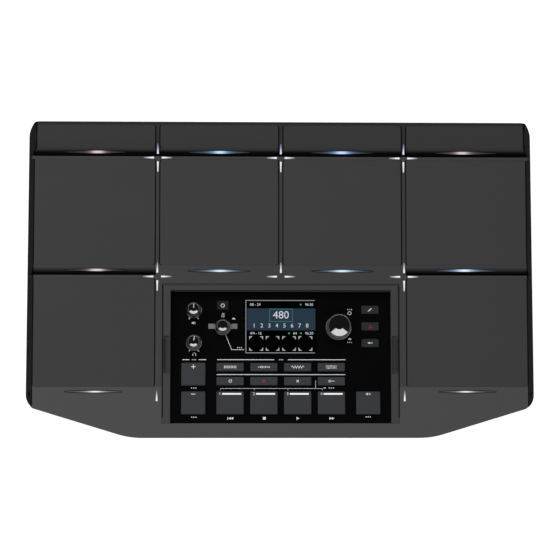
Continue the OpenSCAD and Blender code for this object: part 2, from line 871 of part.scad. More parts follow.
module bar_pad(pad) {
    steps = 16;
    intersection() {
        pad_prism(pad);
        along_x(-case_w, case_w)
            polygon(concat(
                [[bar_front_y, deck_z(bar_front_y) - pad_t], [bar_rear_y, deck_z(bar_rear_y) - pad_t]],
                [
                    for (i = [0 : steps])
                        let (y = bar_rear_y + (bar_front_y - bar_rear_y) * i / steps)
                        [y, bar_z(y) + pad_proud]
                ]
            ));
    }
}

module flat_pad(pad) {
    intersection() {
        pad_prism(pad);
        deck_layer(-pad_t, pad_proud);
    }
}

module rubber_pad(i) {
    color("#3f3f42")
        if (i < column_count)
            bar_pad(pads[i]);
        else
            flat_pad(pads[i]);
}

module pad_plates() {
    color("silver")
        for (pad = pads)
            intersection() {
                pad_prism(pad, plate_inset, plate_inset);
                deck_layer(-pad_t - plate_t, -pad_t);
            }
}

module pad_cushions() {
    color("#2a2a2c")
        for (pad = pads)
            intersection() {
                difference() {
                    pad_prism(pad, cushion_inset, cushion_inset);
                    pad_prism(pad, cushion_inset + cushion_band, cushion_inset + cushion_band / 2);
                }
                deck_layer(-stack_t, -pad_t - plate_t);
            }
}

module pad_sensors() {
    cushion_edge = cushion_inset + cushion_band / 2;
    color("goldenrod")
        for (pad = pads) {
            room_r = (pad[3] - pad[2]) / 2 - cushion_edge - sensor_gap;
            intersection() {
                translate([(pad[0] + pad[1]) / 2, (pad[2] + pad[3]) / 2, 0])
                    cylinder(r = min(sensor_r, room_r), h = deck_h + reach);
                deck_layer(-pad_t - plate_t - sensor_t, -pad_t - plate_t);
            }
        }
}

// Lights

// Spindle outline with blunt ends
module spindle(length, grow) {
    steps = 12;
    function half_w(t) = grow + lens_end_w / 2 + (lens_w - lens_end_w) / 2 * (1 - t * t);
    half_l = length / 2 + grow;
    upper = [for (i = [-steps : steps]) [half_l * i / steps, half_w(i / steps)]];
    polygon(concat(upper, [for (i = [2 * steps : -1 : 0]) [upper[i].x, -upper[i].y]]));
}

module lens(grow, proud, length = lens_l) {
    translate([0, 0, -lens_t])
        linear_extrude(lens_t + proud)
            spindle(length, grow);
}

// All ten lenses, or with room around them their slots
module lens_set(grow, proud) {
    riser_mid = [(bar_front_y + valley_y) / 2, (bar_z(bar_front_y) + valley_z) / 2];
    roll_lens = roll_at(roll_lens_slope);
    for (i = all_columns)
        translate([column_mid(i), riser_mid.x, riser_mid.y])
            rotate([riser_tilt, 0, 0])
                lens(grow, proud);
    for (i = outer_columns) {
        translate([column_mid(i), roll_lens.x, roll_lens.y])
            rotate([roll_lens_slope, 0, 0])
                lens(grow, proud);
        on_apron(column_mid(i), crease_y - front_lens_in)
            lens(grow, proud, front_lens_l);
    }
    for (i = inner_columns)
        on_deck(column_mid(i), main_front_y - inner_lens_in)
            lens(grow, proud);
}

module pad_light_lenses() {
    color("#e8e4f4")
        lens_set(0, lens_proud);
}

// One ray along +x, widest at its root, with cut corners
module ray(grow, proud) {
    bevel = 0.3;
    root = ray_w / 2 + grow;
    tip = ray_tip_w / 2 + grow;
    x0 = ray_start - grow;
    x1 = ray_start + ray_l + grow;
    half = [[x0, root - bevel], [x0 + bevel, root], [x1 - bevel, tip], [x1, tip - bevel]];
    translate([0, 0, -ray_t])
        linear_extrude(ray_t + proud)
            polygon(concat(half, [for (i = [3 : -1 : 0]) [half[i].x, -half[i].y]]));
}

// Rays of all stars, or with room around them their slots
module ray_set(grow, proud) {
    for (i = [-1 : 1]) {
        on_deck(i * col_pitch, rib_1_y)
            for (turn = [180, 270, 360])
                rotate([0, 0, turn])
                    ray(grow, proud);
        translate([i * col_pitch, ramp_y, deck_z(ramp_y)])
            rotate([ramp_tilt, 0, 0])
                translate([0, -rib_w / 2, 0])
                    rotate([0, 0, 90])
                        ray(grow, proud);
        on_deck(i * col_pitch, rib_2_y)
            for (turn = [0, 90, 180])
                rotate([0, 0, turn])
                    ray(grow, proud);
    }
    for (s = [-1, 1]) {
        on_deck(s * col_pitch, rib_2_y)
            rotate([0, 0, 270])
                ray(grow, proud);
        on_apron(s * col_pitch, front_star_y)
            rotate([0, 0, 90])
                ray(grow, proud);
    }
}

module star_light_guides() {
    color("#f2ecff")
        ray_set(0, ray_proud);
}

// Panel surround, panel and display

module panel_surround() {
    half = well_w / 2 - seat_fit;
    y0 = well_front_y + seat_fit;
    y1 = well_rear_y - seat_fit;
    panel_half = panel_w / 2 + seat_fit;
    scoop_y = panel_mid.y + scoop_v;
    color("#3a3a3c")
        difference() {
            along_x(-half, half)
                polygon([
                    [y0, panel_z(y0) - surround_depth], [y1, panel_z(y1) - surround_depth],
                    [y1, deck_z(y1)], [crease_y, deck_z(crease_y)], [y0, apron_z(y0)]
                ]);
            well_space(panel_half, y0 - past, panel_rear_y + seat_fit, -panel_seat);
            well_space(panel_w / 2 - ledge_w, y0 + ledge_w, panel_rear_y - ledge_w, -reach);
            groove_cut(half, y0, y1);
            both_sides()
                along_x(panel_half + scoop_in, half - groove_w - scoop_out)
                    polygon([
                        [scoop_y - scoop_l / 2, deck_z(scoop_y - scoop_l / 2) - scoop_d],
                        [scoop_y + scoop_l / 2, deck_z(scoop_y + scoop_l / 2) - scoop_d],
                        [scoop_y + scoop_l / 2 + scoop_d, deck_h], [scoop_y - scoop_l / 2 - scoop_d, deck_h]
                    ]);
        }
}

// Rebate along the outer top edge of the surround, open as the dark groove
module groove_cut(half, y0, y1) {
    groove = [
        [y0 - past, apron_z(y0 - past) - groove_d], [crease_y, deck_z(crease_y) - groove_d],
        [y1 + past, deck_z(y1 + past) - groove_d], [y1 + past, deck_h], [y0 - past, deck_h]
    ];
    front_end = 5;
    both_sides()
        intersection() {
            along_x(half - groove_w + seat_fit, half + past)
                polygon(groove);
            translate([0, y0 + front_end, 0])
                cube([case_w, case_d, deck_h + reach]);
        }
    intersection() {
        along_x(-half - past, half + past)
            polygon(groove);
        translate([-case_w, y1 - groove_w + seat_fit, 0])
            cube([2 * case_w, reach, deck_h + reach]);
    }
}

module control_panel() {
    color("#101011")
        on_panel()
            difference() {
                union() {
                    plate_box(panel_w, panel_d - seat_fit, -panel_t, 0, plate_corner_r);
                    for (p = panel_posts)
                        translate([p.x, p.y, -board_drop])
                            cylinder(r = post_r, h = board_drop - panel_t / 2);
                }
                for (k = keys)
                    translate([k[0], k[1], 0])
                        plate_box(
                            k[2] + 2 * key_fit, k[3] + 2 * key_fit, -panel_t - past, past,
                            key_corner_r + key_fit
                        );
                for (p = [main_volume_at, phones_at, metronome_at, value_at])
                    translate([p.x, p.y, -panel_t - past])
                        cylinder(r = bush_r + bush_fit, h = panel_t + 2 * past);
                translate([0, window_v, 0]) {
                    plate_box(window_w + seat_fit, window_h + seat_fit, -window_t, past, plate_corner_r);
                    plate_box(
                        window_w - 2 * window_ledge, window_h - 2 * window_ledge, -panel_t - past, past,
                        plate_corner_r
                    );
                }
            }
}

module display_window() {
    color("#1b1d22")
        on_panel([0, window_v])
            plate_box(window_w, window_h, -window_t, 0, plate_corner_r);
}

module display_module() {
    color("#5a6a78")
        on_panel([0, window_v])
            plate_box(display_w, display_h, -panel_t - module_t, -panel_t, plate_corner_r);
}

// Buttons

module button(k) {
    under = -panel_t - key_hang;
    stem_low = -board_drop + switch_h + plunger_h + key_travel + plunger_gap;
    color("#424346")
        on_panel([k[0], k[1]]) {
            hull() {
                plate_box(k[2], k[3], under, key_proud - key_chamfer, key_corner_r);
                plate_box(k[2] - 2 * key_chamfer, k[3] - 2 * key_chamfer, under, key_proud, key_corner_r);
            }
            plate_box(
                k[2] + 2 * key_flange, k[3] + 2 * key_flange, under - key_flange_t, under, key_corner_r
            );
            translate([0, 0, stem_low])
                cylinder(r = plunger_r, h = under - key_flange_t - stem_low + past / 2);
        }
}

module tact_switches() {
    color("#1c1c1e")
        for (k = keys)
            on_panel([k[0], k[1]])
                translate([0, 0, -board_drop]) {
                    translate([-switch_w / 2, -switch_w / 2, 0])
                        cube([switch_w, switch_w, switch_h]);
                    cylinder(r = plunger_r, h = switch_h + plunger_h);
                }
}

// Rotary controls

// Body with its bush; a push encoder also has a chamber for its rotor
module rotary_body(encoder) {
    floor_z = -board_drop + control_floor;
    difference() {
        union() {
            translate([-control_w / 2, -control_w / 2, -board_drop])
                cube([control_w, control_w, control_h]);
            translate([0, 0, -board_drop])
                cylinder(r = bush_r, h = board_drop);
        }
        translate([0, 0, floor_z])
            cylinder(r = shaft_r + shaft_fit, h = board_drop + past);
        if (encoder)
            translate([0, 0, floor_z])
                cylinder(r = rotor_r + rotor_fit, h = rotor_h + 2 * rotor_fit);
    }
}

module rotary_control_bodies() {
    color("#8a8d90") {
        for (p = [main_volume_at, phones_at])
            on_panel(p)
                rotary_body(false);
        for (p = [metronome_at, value_at])
            on_panel(p)
                rotary_body(true);
    }
}

module control_shaft(at, low) {
    color("#b9bcbf")
        on_panel(at)
            translate([0, 0, low])
                cylinder(r = shaft_r, h = shaft_top - low);
}

module encoder_rotor(at) {
    color("#d8d4c8")
        on_panel(at)
            translate([0, 0, -board_drop + control_floor + rotor_fit])
                difference() {
                    cylinder(r = rotor_r, h = rotor_h);
                    translate([0, 0, -past])
                        cylinder(r = shaft_r + shaft_fit, h = rotor_h + 2 * past);
                }
}

// Fluted, tapering knob with a plain skirt and a dished top
module knob(at, base_r, top_r, height) {
    points = 4 * flute_count;
    flute_low = knob_gap + knob_skirt_h;
    flute_r = base_r - knob_shoulder;
    dish_rim = top_r - dish_margin;
    dish_ball_r = (dish_rim * dish_rim + dish_d * dish_d) / (2 * dish_d);
    color("#151517")
        on_panel(at)
            difference() {
                union() {
                    translate([0, 0, knob_gap])
                        cylinder(r = base_r, h = knob_skirt_h);
                    translate([0, 0, flute_low])
                        linear_extrude(height - flute_low, scale = top_r / flute_r)
                            polygon([
                                for (i = [0 : points - 1])
                                    let (
                                        a = 360 * i / points,
                                        r = flute_r - flute_depth * (1 + cos(flute_count * a)) / 2
                                    )
                                    r * [cos(a), sin(a)]
                            ]);
                }
                translate([0, 0, height + dish_ball_r - dish_d])
                    sphere(r = dish_ball_r, $fn = 96);
                translate([0, 0, knob_gap - past])
                    cylinder(r = shaft_r + knob_press_fit, h = shaft_top - knob_gap + past);
                translate([0, 0, knob_gap - past])
                    difference() {
                        cylinder(r = top_r - knob_wall, h = knob_hollow + past);
                        cylinder(r = shaft_r + knob_hub_t, h = knob_hollow + past);
                    }
            }
}

module small_knob(at) {
    knob(at, small_knob_r, small_knob_top_r, small_knob_h);
}

module value_knob() {
    knob(value_at, value_knob_r, value_knob_top_r, value_knob_h);
}

// Circuit boards

module panel_board() {
    edge = 2 * (ledge_w + board_margin);
    color("#1f4a33")
        on_panel()
            plate_box(panel_w - edge, panel_d - edge, -board_drop - board_t, -board_drop, plate_corner_r);
}

module main_board() {
    color("#1f4a33")
        translate([-main_board_w / 2, main_board_y, main_board_z - board_t])
            cube([main_board_w, main_board_d, board_t]);
}

// Rear sockets

module jack_plate() {
    plate_w = socket_window_w + 2 * plate_margin;
    plate_h = socket_window_h + 2 * plate_margin;
    color("#161617")
        difference() {
            translate([-plate_w / 2, plate_front_y, socket_z - plate_h / 2])
                cube([plate_w, jack_plate_t, plate_h]);
            for (x = jack_x)
                plate_hole(x, jack_collar_r + collar_fit);
            plate_hole(mini_x, mini_collar_r + collar_fit);
            plate_hole(dc_x, dc_bore_r + dc_collar_t + collar_fit);
            plate_slot(usb_a_x, usb_a_shell);
            plate_slot(usb_b_x, usb_b_shell);
        }
}

module plate_hole(x, r) {
    at_rear(x)
        translate([0, 0, -jack_plate_t - past])
            cylinder(r = r, h = jack_plate_t + 2 * past);
}

module plate_slot(x, shell) {
    at_rear(x)
        translate([-shell.x / 2 - collar_fit, -shell.y / 2 - collar_fit, -jack_plate_t - past])
            cube([shell.x + 2 * collar_fit, shell.y + 2 * collar_fit, jack_plate_t + 2 * past]);
}

// Body behind the plate and a collar through it, with a blind bore
module round_socket(body, collar_r, bore_r, bore_l) {
    difference() {
        union() {
            translate([-body.x / 2, -body.y / 2, -jack_plate_t - body.z])
                cube(body);
            translate([0, 0, -jack_plate_t - past])
                cylinder(r = collar_r, h = jack_plate_t + collar_proud + past);
        }
        translate([0, 0, collar_proud - bore_l])
            cylinder(r = bore_r, h = bore_l + past);
    }
}

module phone_jacks() {
    color("#1a1a1b")
        for (x = jack_x)
            at_rear(x)
                round_socket(jack_body, jack_collar_r, jack_bore_r, jack_bore_l);
}

// Open shell with an insulator in its middle and a closed back
module usb_socket(shell, inner, inner_y) {
    low = collar_proud - usb_l;
    difference() {
        translate([-shell.x / 2, -shell.y / 2, low])
            cube([shell.x, shell.y, usb_l]);
        translate([-shell.x / 2 + usb_shell_t, -shell.y / 2 + usb_shell_t, low + usb_back_t])
            cube([shell.x - 2 * usb_shell_t, shell.y - 2 * usb_shell_t, usb_l]);
    }
    translate([-inner.x / 2, inner_y - inner.y / 2, low + past])
        cube([inner.x, inner.y, usb_l - 2 * past]);
}

module usb_and_power_sockets() {
    color("#9a9ca0") {
        at_rear(mini_x)
            round_socket(mini_body, mini_collar_r, mini_bore_r, mini_bore_l);
        at_rear(usb_a_x)
            usb_socket(usb_a_shell, usb_a_tongue, usb_a_tongue_y);
        at_rear(usb_b_x)
            usb_socket(usb_b_shell, usb_b_post, 0);
        at_rear(dc_x) {
            round_socket(dc_body, dc_bore_r + dc_collar_t, dc_bore_r, dc_body.z - dc_back_t);
            translate([0, 0, -dc_body.z])
                cylinder(r = dc_pin_r, h = dc_body.z);
        }
    }
}

// Base

// Side view of the cover over a half length, with both lower edges sloped
module cover_section(half) {
    slope_z = foot_h + cover_slope_h;
    polygon([
        [-half + cover_slope_w, foot_h], [half - cover_slope_w, foot_h], [half, slope_z],
        [half, split_h], [-half, split_h], [-half, slope_z]
    ]);
}

module cover_inside(inset, low) {
    intersection() {
        translate([0, 0, low])
            linear_extrude(split_h)
                offset(delta = -wall - cover_inset - inset)
                    case_outline();
        nose_space(wall + cover_inset + inset);
    }
}

module bottom_cover() {
    color("#2c2c2e")
        difference() {
            union() {
                difference() {
                    intersection() {
                        translate([0, 0, foot_h])
                            linear_extrude(split_h - foot_h)
                                offset(delta = -cover_inset)
                                    case_outline();
                        along_x(-case_w, case_w)
                            cover_section(y_rear);
                        translate([0, y_rear + reach, 0])
                            rotate([90, 0, 0])
                                linear_extrude(case_d + 2 * reach)
                                    cover_section(case_w / 2);
                        nose_space(cover_inset);
                    }
                    cover_inside(cover_slope_w, foot_h + base_floor_t);
                    cover_inside(0, foot_h + cover_slope_h);
                }
                for (p = screw_places)
                    translate([p.x, p.y, foot_h + past])
                        cylinder(r = boss_r, h = split_h - foot_h - past);
                for (p = board_posts)
                    translate([p.x, p.y, foot_h + past])
                        cylinder(r = board_post_r, h = main_board_z - board_t - foot_h - past);
                for (p = clamp_places())
                    translate([p.x, p.y, foot_h + past])
                        cylinder(r = clamp_boss_r, h = clamp_hole_l + base_floor_t - past);
            }
            for (p = screw_places)
                translate([p.x, p.y, 0]) {
                    cylinder(r = screw_r + screw_hole_fit, h = split_h + past);
                    cylinder(r = screw_head_r + screw_head_fit, h = foot_h + screw_head_t + screw_head_fit);
                }
            for (p = clamp_places())
                translate([p.x, p.y, 0])
                    cylinder(r = clamp_hole_r, h = foot_h + clamp_hole_l);
            for (p = foot_places())
                translate([p.x, p.y, 0])
                    cylinder(r = foot_r + seat_fit, h = foot_h + foot_recess);
        }
}

function clamp_places() = [for (sx = [-1, 1], sy = [-1, 1]) [sx * clamp_x / 2, sy * clamp_y / 2]];
function foot_places() = [
    for (sx = [-1, 1], y = [y_front + foot_in_y, y_rear - foot_in_y]) [sx * (case_w / 2 - foot_in_x), y]
];

module rubber_feet() {
    color("#121212")
        for (p = foot_places())
            translate([p.x, p.y, 0])
                cylinder(r1 = foot_r - foot_flare, r2 = foot_r, h = foot_h + foot_recess);
}

module case_screws() {
    head_z = foot_h + screw_head_fit;
    color("#77797c")
        for (p = screw_places)
            translate([p.x, p.y, head_z]) {
                difference() {
                    cylinder(r = screw_head_r, h = screw_head_t);
                    for (turn = [0, 90])
                        rotate([0, 0, turn])
                            translate([-screw_slot_l / 2, -screw_slot_w / 2, -past])
                                cube([screw_slot_l, screw_slot_w, past + screw_slot_d]);
                }
                translate([0, 0, screw_slot_d])
                    cylinder(r = screw_r, h = split_h + screw_bite - head_z - screw_slot_d);
            }
}

upper_case();
bottom_cover();
jack_plate();
panel_surround();
control_panel();
display_window();
display_module();
for (i = [0 : len(pads) - 1])
    rubber_pad(i);
pad_plates();
pad_cushions();
pad_sensors();
pad_light_lenses();
star_light_guides();
main_board();
panel_board();
tact_switches();
rotary_control_bodies();
small_knob(main_volume_at);  // main_volume_knob
small_knob(phones_at);  // phones_knob
small_knob(metronome_at);  // metronome_knob
value_knob();
control_shaft(main_volume_at, shaft_low);  // main_volume_shaft
control_shaft(phones_at, shaft_low);  // phones_shaft
control_shaft(metronome_at, pushed_shaft_low);  // metronome_shaft
control_shaft(value_at, pushed_shaft_low);  // value_shaft
encoder_rotor(metronome_at);  // metronome_rotor
encoder_rotor(value_at);  // value_rotor
for (i = [0 : len(keys) - 1])
    button(keys[i]);
phone_jacks();
usb_and_power_sockets();
rubber_feet();
case_screws();
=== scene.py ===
"""Sampling percussion pad: rubber pads, lights, knobs, print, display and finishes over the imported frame."""
import json
import math

import bmesh
import bpy
from mathutils import Matrix, Vector


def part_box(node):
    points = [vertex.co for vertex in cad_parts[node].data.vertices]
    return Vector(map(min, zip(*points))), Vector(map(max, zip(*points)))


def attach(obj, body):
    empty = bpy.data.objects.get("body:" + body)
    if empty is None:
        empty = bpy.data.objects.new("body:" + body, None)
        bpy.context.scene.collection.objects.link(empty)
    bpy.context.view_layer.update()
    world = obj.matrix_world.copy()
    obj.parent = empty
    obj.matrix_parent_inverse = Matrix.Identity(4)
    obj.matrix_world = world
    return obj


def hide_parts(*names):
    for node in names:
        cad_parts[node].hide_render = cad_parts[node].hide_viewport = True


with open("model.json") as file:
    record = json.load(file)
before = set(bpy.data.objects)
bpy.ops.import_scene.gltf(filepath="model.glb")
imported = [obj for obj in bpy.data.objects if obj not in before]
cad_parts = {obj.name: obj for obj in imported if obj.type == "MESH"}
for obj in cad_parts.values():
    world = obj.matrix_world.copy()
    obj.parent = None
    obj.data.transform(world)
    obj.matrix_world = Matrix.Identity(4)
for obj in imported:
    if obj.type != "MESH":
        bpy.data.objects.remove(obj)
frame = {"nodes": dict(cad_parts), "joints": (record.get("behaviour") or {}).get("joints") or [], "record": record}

MM = 0.001
NODES = frame["nodes"]
JOINTS = {joint["name"]: joint for joint in frame["joints"]}
BODY_OF = {node: body for body, nodes in frame["record"]["behaviour"]["bodies"].items() for node in nodes}
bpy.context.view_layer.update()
SCENE = bpy.context.scene

# Slopes and sizes that the looks need and the frame does not give, in millimetres unless they carry MM.
DECK_TILT = math.tan(math.radians(6))
PAD_SIDE_ROUND = 0.45
PAD_END_ROUND = 0.2
PAD_CORNER = 2.4
# Soft lip with which a pad nearly fills its pocket at the front and the rear.
PAD_LIP = Vector((0, 0.1, 0)) * MM
CROWN_RADIUS = 28
# Spans over the top of a flat and of a crowned pad.
FLAT_SPANS, CROWN_SPANS = 2, 22
# Width of the foam frames, and their side profile: inset in millimetres at a share of the height.
CUSHION_BAND = Vector((5, 2.5, 0)) * MM
CUSHION_BULGE = ((0.35, 0), (0.1, 0.12), (0, 0.5), (0.1, 0.88), (0.35, 1))
# The seal: its reach behind and in front of the surround's rear side, its sink, rounding and depth.
SEAL_REAR, SEAL_FRONT, SEAL_SINK, SEAL_ROUND, SEAL_DEPTH = 0.15 * MM, 1.15 * MM, 0.5 * MM, 0.3 * MM, 2.2 * MM
# A knob: height of its skirt over the panel, the bore for its shaft, depth of its flutes and points on each.
KNOB_GAP = 1.6
BORE_RADIUS = 3.06
BORE_TOP = 9.6
FLUTE = 0.34
FLUTE_POINTS = 6
SKIRT_FLUTE = 0.12
# A knob's top: rim, step inside the rim, then a shallow cone down to a flat floor.
RIM_WIDTH = 0.75
DISH_RIM = 0.4
DISH_STEP = 0.7
DISH_SLOPE = math.tan(math.radians(5.9))
# Heights of the lower and the upper side of print above its face.
INK_FOOT = 0.005
INK = 0.06


# Node trees


def sum_of(operation, reflected=False):
    """Method of a field that adds a Math node for itself and another field or number."""
    def method(self, other):
        first, second = (other, self) if reflected else (self, other)
        return self.tree.node("ShaderNodeMath", {0: first, 1: second}, operation=operation)
    return method


class Field:
    """One socket of a node tree; sums on fields add Math nodes to that tree."""

    __add__, __radd__ = sum_of("ADD"), sum_of("ADD", True)
    __sub__, __rsub__ = sum_of("SUBTRACT"), sum_of("SUBTRACT", True)
    __mul__, __rmul__ = sum_of("MULTIPLY"), sum_of("MULTIPLY", True)
    __truediv__, __rtruediv__ = sum_of("DIVIDE"), sum_of("DIVIDE", True)
    __pow__, __rpow__ = sum_of("POWER"), sum_of("POWER", True)
    # 1 where the field is greater than the other, and the greater of the two.
    over, most = sum_of("GREATER_THAN"), sum_of("MAXIMUM")

    def __init__(self, tree, socket):
        self.tree, self.socket = tree, socket

    def __abs__(self):
        return self.tree.node("ShaderNodeMath", {0: self}, operation="ABSOLUTE")

    def output(self, name):
        """Another output of the same node."""
        return Field(self.tree, self.socket.node.outputs[name])


class Tree:
    """A node tree being filled."""

    def __init__(self, tree):
        self.tree = tree
        tree.nodes.clear()

    def node(self, kind, inputs=None, out=0, **settings):
        """A node of any type: its settings come first, then values or links for its sockets."""
        made = self.tree.nodes.new(kind)
        for key, value in settings.items():
            setattr(made, key, value)
        for key, value in (inputs or {}).items():
            if isinstance(value, Field):
                self.tree.links.new(value.socket, made.inputs[key])
            else:
                made.inputs[key].default_value = value
        return Field(self, made.outputs[out]) if len(made.outputs) else made

    def blend(self, amount, first, second):
        """Colour from first to second."""
        pair = {0: amount, 6: rgba(first), 7: rgba(second)}
        return self.node("ShaderNodeMix", pair, out=2, data_type="RGBA")

    def ramp(self, value, start, stop):
        """0 before start, 1 after stop, smooth in between; start may be the greater."""
        inputs = {"Value": value, "From Min": start, "From Max": stop}
        return self.node("ShaderNodeMapRange", inputs, interpolation_type="SMOOTHSTEP", clamp=True)


def rgba(tone):
    """A colour socket takes a field, a grey level or three numbers."""
    if isinstance(tone, Field):
        return tone
    if isinstance(tone, (int, float)):
        return (tone, tone, tone, 1)
    return (*tone, 1)


class Finish(Tree):
    """A material with its pattern coordinates."""

    def __init__(self, name):
        self.material = bpy.data.materials.new(name.replace("_", " "))
        self.material.use_nodes = True
        super().__init__(self.material.node_tree)
        self.place = self.node("ShaderNodeTexCoord", out="Object")

    def noise(self, size, detail=2.0, roughness=0.5):
        """Noise whose features measure size millimetres."""
        inputs = {"Vector": self.place, "Scale": 1 / (size * MM), "Detail": detail, "Roughness": roughness}
        return self.node("ShaderNodeTexNoise", inputs)

    def axes(self):
        """x, y and z of the point in metres."""
        split = self.node("ShaderNodeSeparateXYZ", {0: self.place})
        return split, split.output("Y"), split.output("Z")

    def soft_edges(self, radius):
        """Normal that rounds sharp edges over radius millimetres."""
        return self.node("ShaderNodeBevel", {"Radius": radius * MM}, samples=6)

    def bump(self, height, relief, normal=None):
        """Normal of a height field whose full rise is relief millimetres."""
        inputs = {"Height": height, "Distance": relief * MM, "Strength": 1.0}
        if normal:
            inputs["Normal"] = normal
        return self.node("ShaderNodeBump", inputs)

    def done(self, **sockets):
        """Principled shader from named sockets; underscores stand for spaces."""
        inputs = {key.replace("_", " "): value for key, value in sockets.items()}
        for key in ("Base Color", "Emission Color"):
            if key in inputs:
                inputs[key] = rgba(inputs[key])
        shader = self.node("ShaderNodeBsdfPrincipled", inputs)
        self.node("ShaderNodeOutputMaterial", {"Surface": shader})
        return self.material


# Finishes

PLASTIC = (0.07, 0.07, 0.0705)
# Painted light: a lighter tone for the apron, which faces further forwards.
APRON_PAINTED_LIGHT = (0.091, 0.091, 0.0915)
WALL = (0.066, 0.066, 0.0665)
# Shares of its own tone that the case loses to painted shade where little light reaches it.
DEEP_SHADE = 0.97
REAR_SHADE = 0.52
MAIN_RIB_SHADE = 0.13
BAR_RIB_SHADE = 0.42
# Size of the faint clouds in moulded plastic, in millimetres, and density of a lit display's pixel weave.
CLOUD_SIZE = 38
WEAVE = 1500.0


def moulded(name, tone, rough, grain, relief, cloud, edge=0, specular=0.5, shade=None, **coat):
    """Moulded plastic or rubber: spark-eroded grain, faint clouds in the tone, uneven gloss."""
    finish = Finish(name)
    fine = finish.noise(grain, 3)
    broad = finish.noise(CLOUD_SIZE, 3, 0.6)
    dark, light = [tuple(c * k for c in rgba(tone)[:3]) for k in (1 - cloud, 1 + cloud)]
    colour = finish.blend(broad, dark, light)
    colour = finish.blend(fine * 0.22, colour, tuple(c * 0.55 for c in dark))
    # Painted light and shade, for finishes that have them.
    if shade:
        colour = shade(finish, colour)
    normal = finish.bump(fine, relief, finish.soft_edges(edge) if edge else None)
    gloss = rough - 0.06 + broad * 0.08 + fine * 0.04
    return finish.done(Base_Color=colour, Roughness=gloss, Normal=normal, Specular_IOR_Level=specular, **coat)


def brushed(name, tone, rough):
    """Metal with fine drawn lines along x."""
    finish = Finish(name)
    lines_at = finish.node("ShaderNodeMapping", {"Vector": finish.place, "Scale": (1, 30, 30)})
    lines = finish.node("ShaderNodeTexNoise", {"Vector": lines_at, "Scale": 90.0, "Detail": 4.0})
    broad = finish.noise(12)
    colour = finish.blend(lines, tuple(c * 0.8 for c in tone), tone)
    return finish.done(Base_Color=colour, Metallic=1.0, Roughness=rough + broad * 0.12 - lines * 0.06,
                       Normal=finish.bump(lines, 0.01))


def case_shade(finish, colour):
    """Painted light on the lighter apron, painted shade on the dark flanks, ribs and rear edge and in the rolls
    that hardly any light reaches; plain outer walls.
    """
    x, y, z = finish.axes()
    main_lo, main_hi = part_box("main_pad_4")
    front_lo, front_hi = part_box("front_pad_left")
    bar_lo, bar_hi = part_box("bar_pad_4")

    def past(value, edge, start, stop):
        """Ramp between two distances past an edge, in millimetres."""
        return finish.ramp(value, edge + start * MM, edge + stop * MM)

    # Painted light on the apron in front of the front pads.
    apron = past(y, front_lo.y, 0.6, -0.8)
    colour = finish.blend(apron, colour, APRON_PAINTED_LIGHT)
    normal = finish.node("ShaderNodeNewGeometry", out="True Normal")
    facing_up = finish.node("ShaderNodeSeparateXYZ", {0: normal}, out="Z")
    # Painted shade: steep faces and the flanks beside the pads, darkened nearly to black.
    steep = finish.ramp(facing_up, 0.66, 0.5)
    beyond = abs(x) - main_hi.x + (main_hi.x - bar_hi.x) * past(y, bar_lo.y, -3, 0)
    on_rib = past(abs(y - (main_hi.y + 1.65 * MM)), 0, 1.9, 1.5)
    rim = past(beyond, 0, 0.05, 0.3) * (1 - on_rib)
    colour = finish.blend(steep.most(rim) * DEEP_SHADE, colour, 0.004)
    # Painted shade along the rear edge.
    rear = past(y, bar_hi.y, -1.5, 2.5)
    colour = finish.blend(rear * REAR_SHADE, colour, 0.002)
    # Painted shade on the ribs between the pads, deeper between the rear bars.
    main_ribs = past(y, main_lo.y, -1, 1) * past(y, main_hi.y, 0, -2)
    bar_ribs = past(y, bar_lo.y, 0, 2) * (1 - rear)
    colour = finish.blend(main_ribs * MAIN_RIB_SHADE + bar_ribs * BAR_RIB_SHADE, colour, 0.002)
    # Painted shade, nearly black, in the valley before the bars and in the rolls at the front of the outer main
    # pads.
    valley = past(y, main_hi.y, 2.4, 3.4) * (1 - past(y, bar_lo.y, -3.5, 0.2))
    roll = past(y, front_hi.y, 2.8, 3.8) * past(abs(x), 0, 115.5, 116.5)
    roll = roll * (1 - past(y, main_lo.y, -7.4, -0.8))
    colour = finish.blend(valley.most(roll) * past(z, 0, 40, 46) * DEEP_SHADE, colour, 0.0015)
    outer = apron.most(past(beyond, 0, 1, 2)).most(past(y, bar_hi.y, 2.5, 3.5))
    return finish.blend(outer * finish.ramp(facing_up, 0.3, 0.1), colour, WALL)


def surround_shade(finish, colour):
    """Painted shade in the scoop of each leg, deepest along its outer side."""
    x, y = finish.axes()[:2]
    low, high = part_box("control_panel")
    leg_x, mid_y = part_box("panel_surround")[1].x, (low.y + high.y) / 2 + 1.5 * MM
    scoop = finish.ramp(abs(y - mid_y), 18.5 * MM, 13 * MM)
    outer = finish.ramp(abs(x), leg_x - 7 * MM, leg_x - 2 * MM)
    return finish.blend(scoop * (0.2 + outer * 0.3), colour, 0.01)


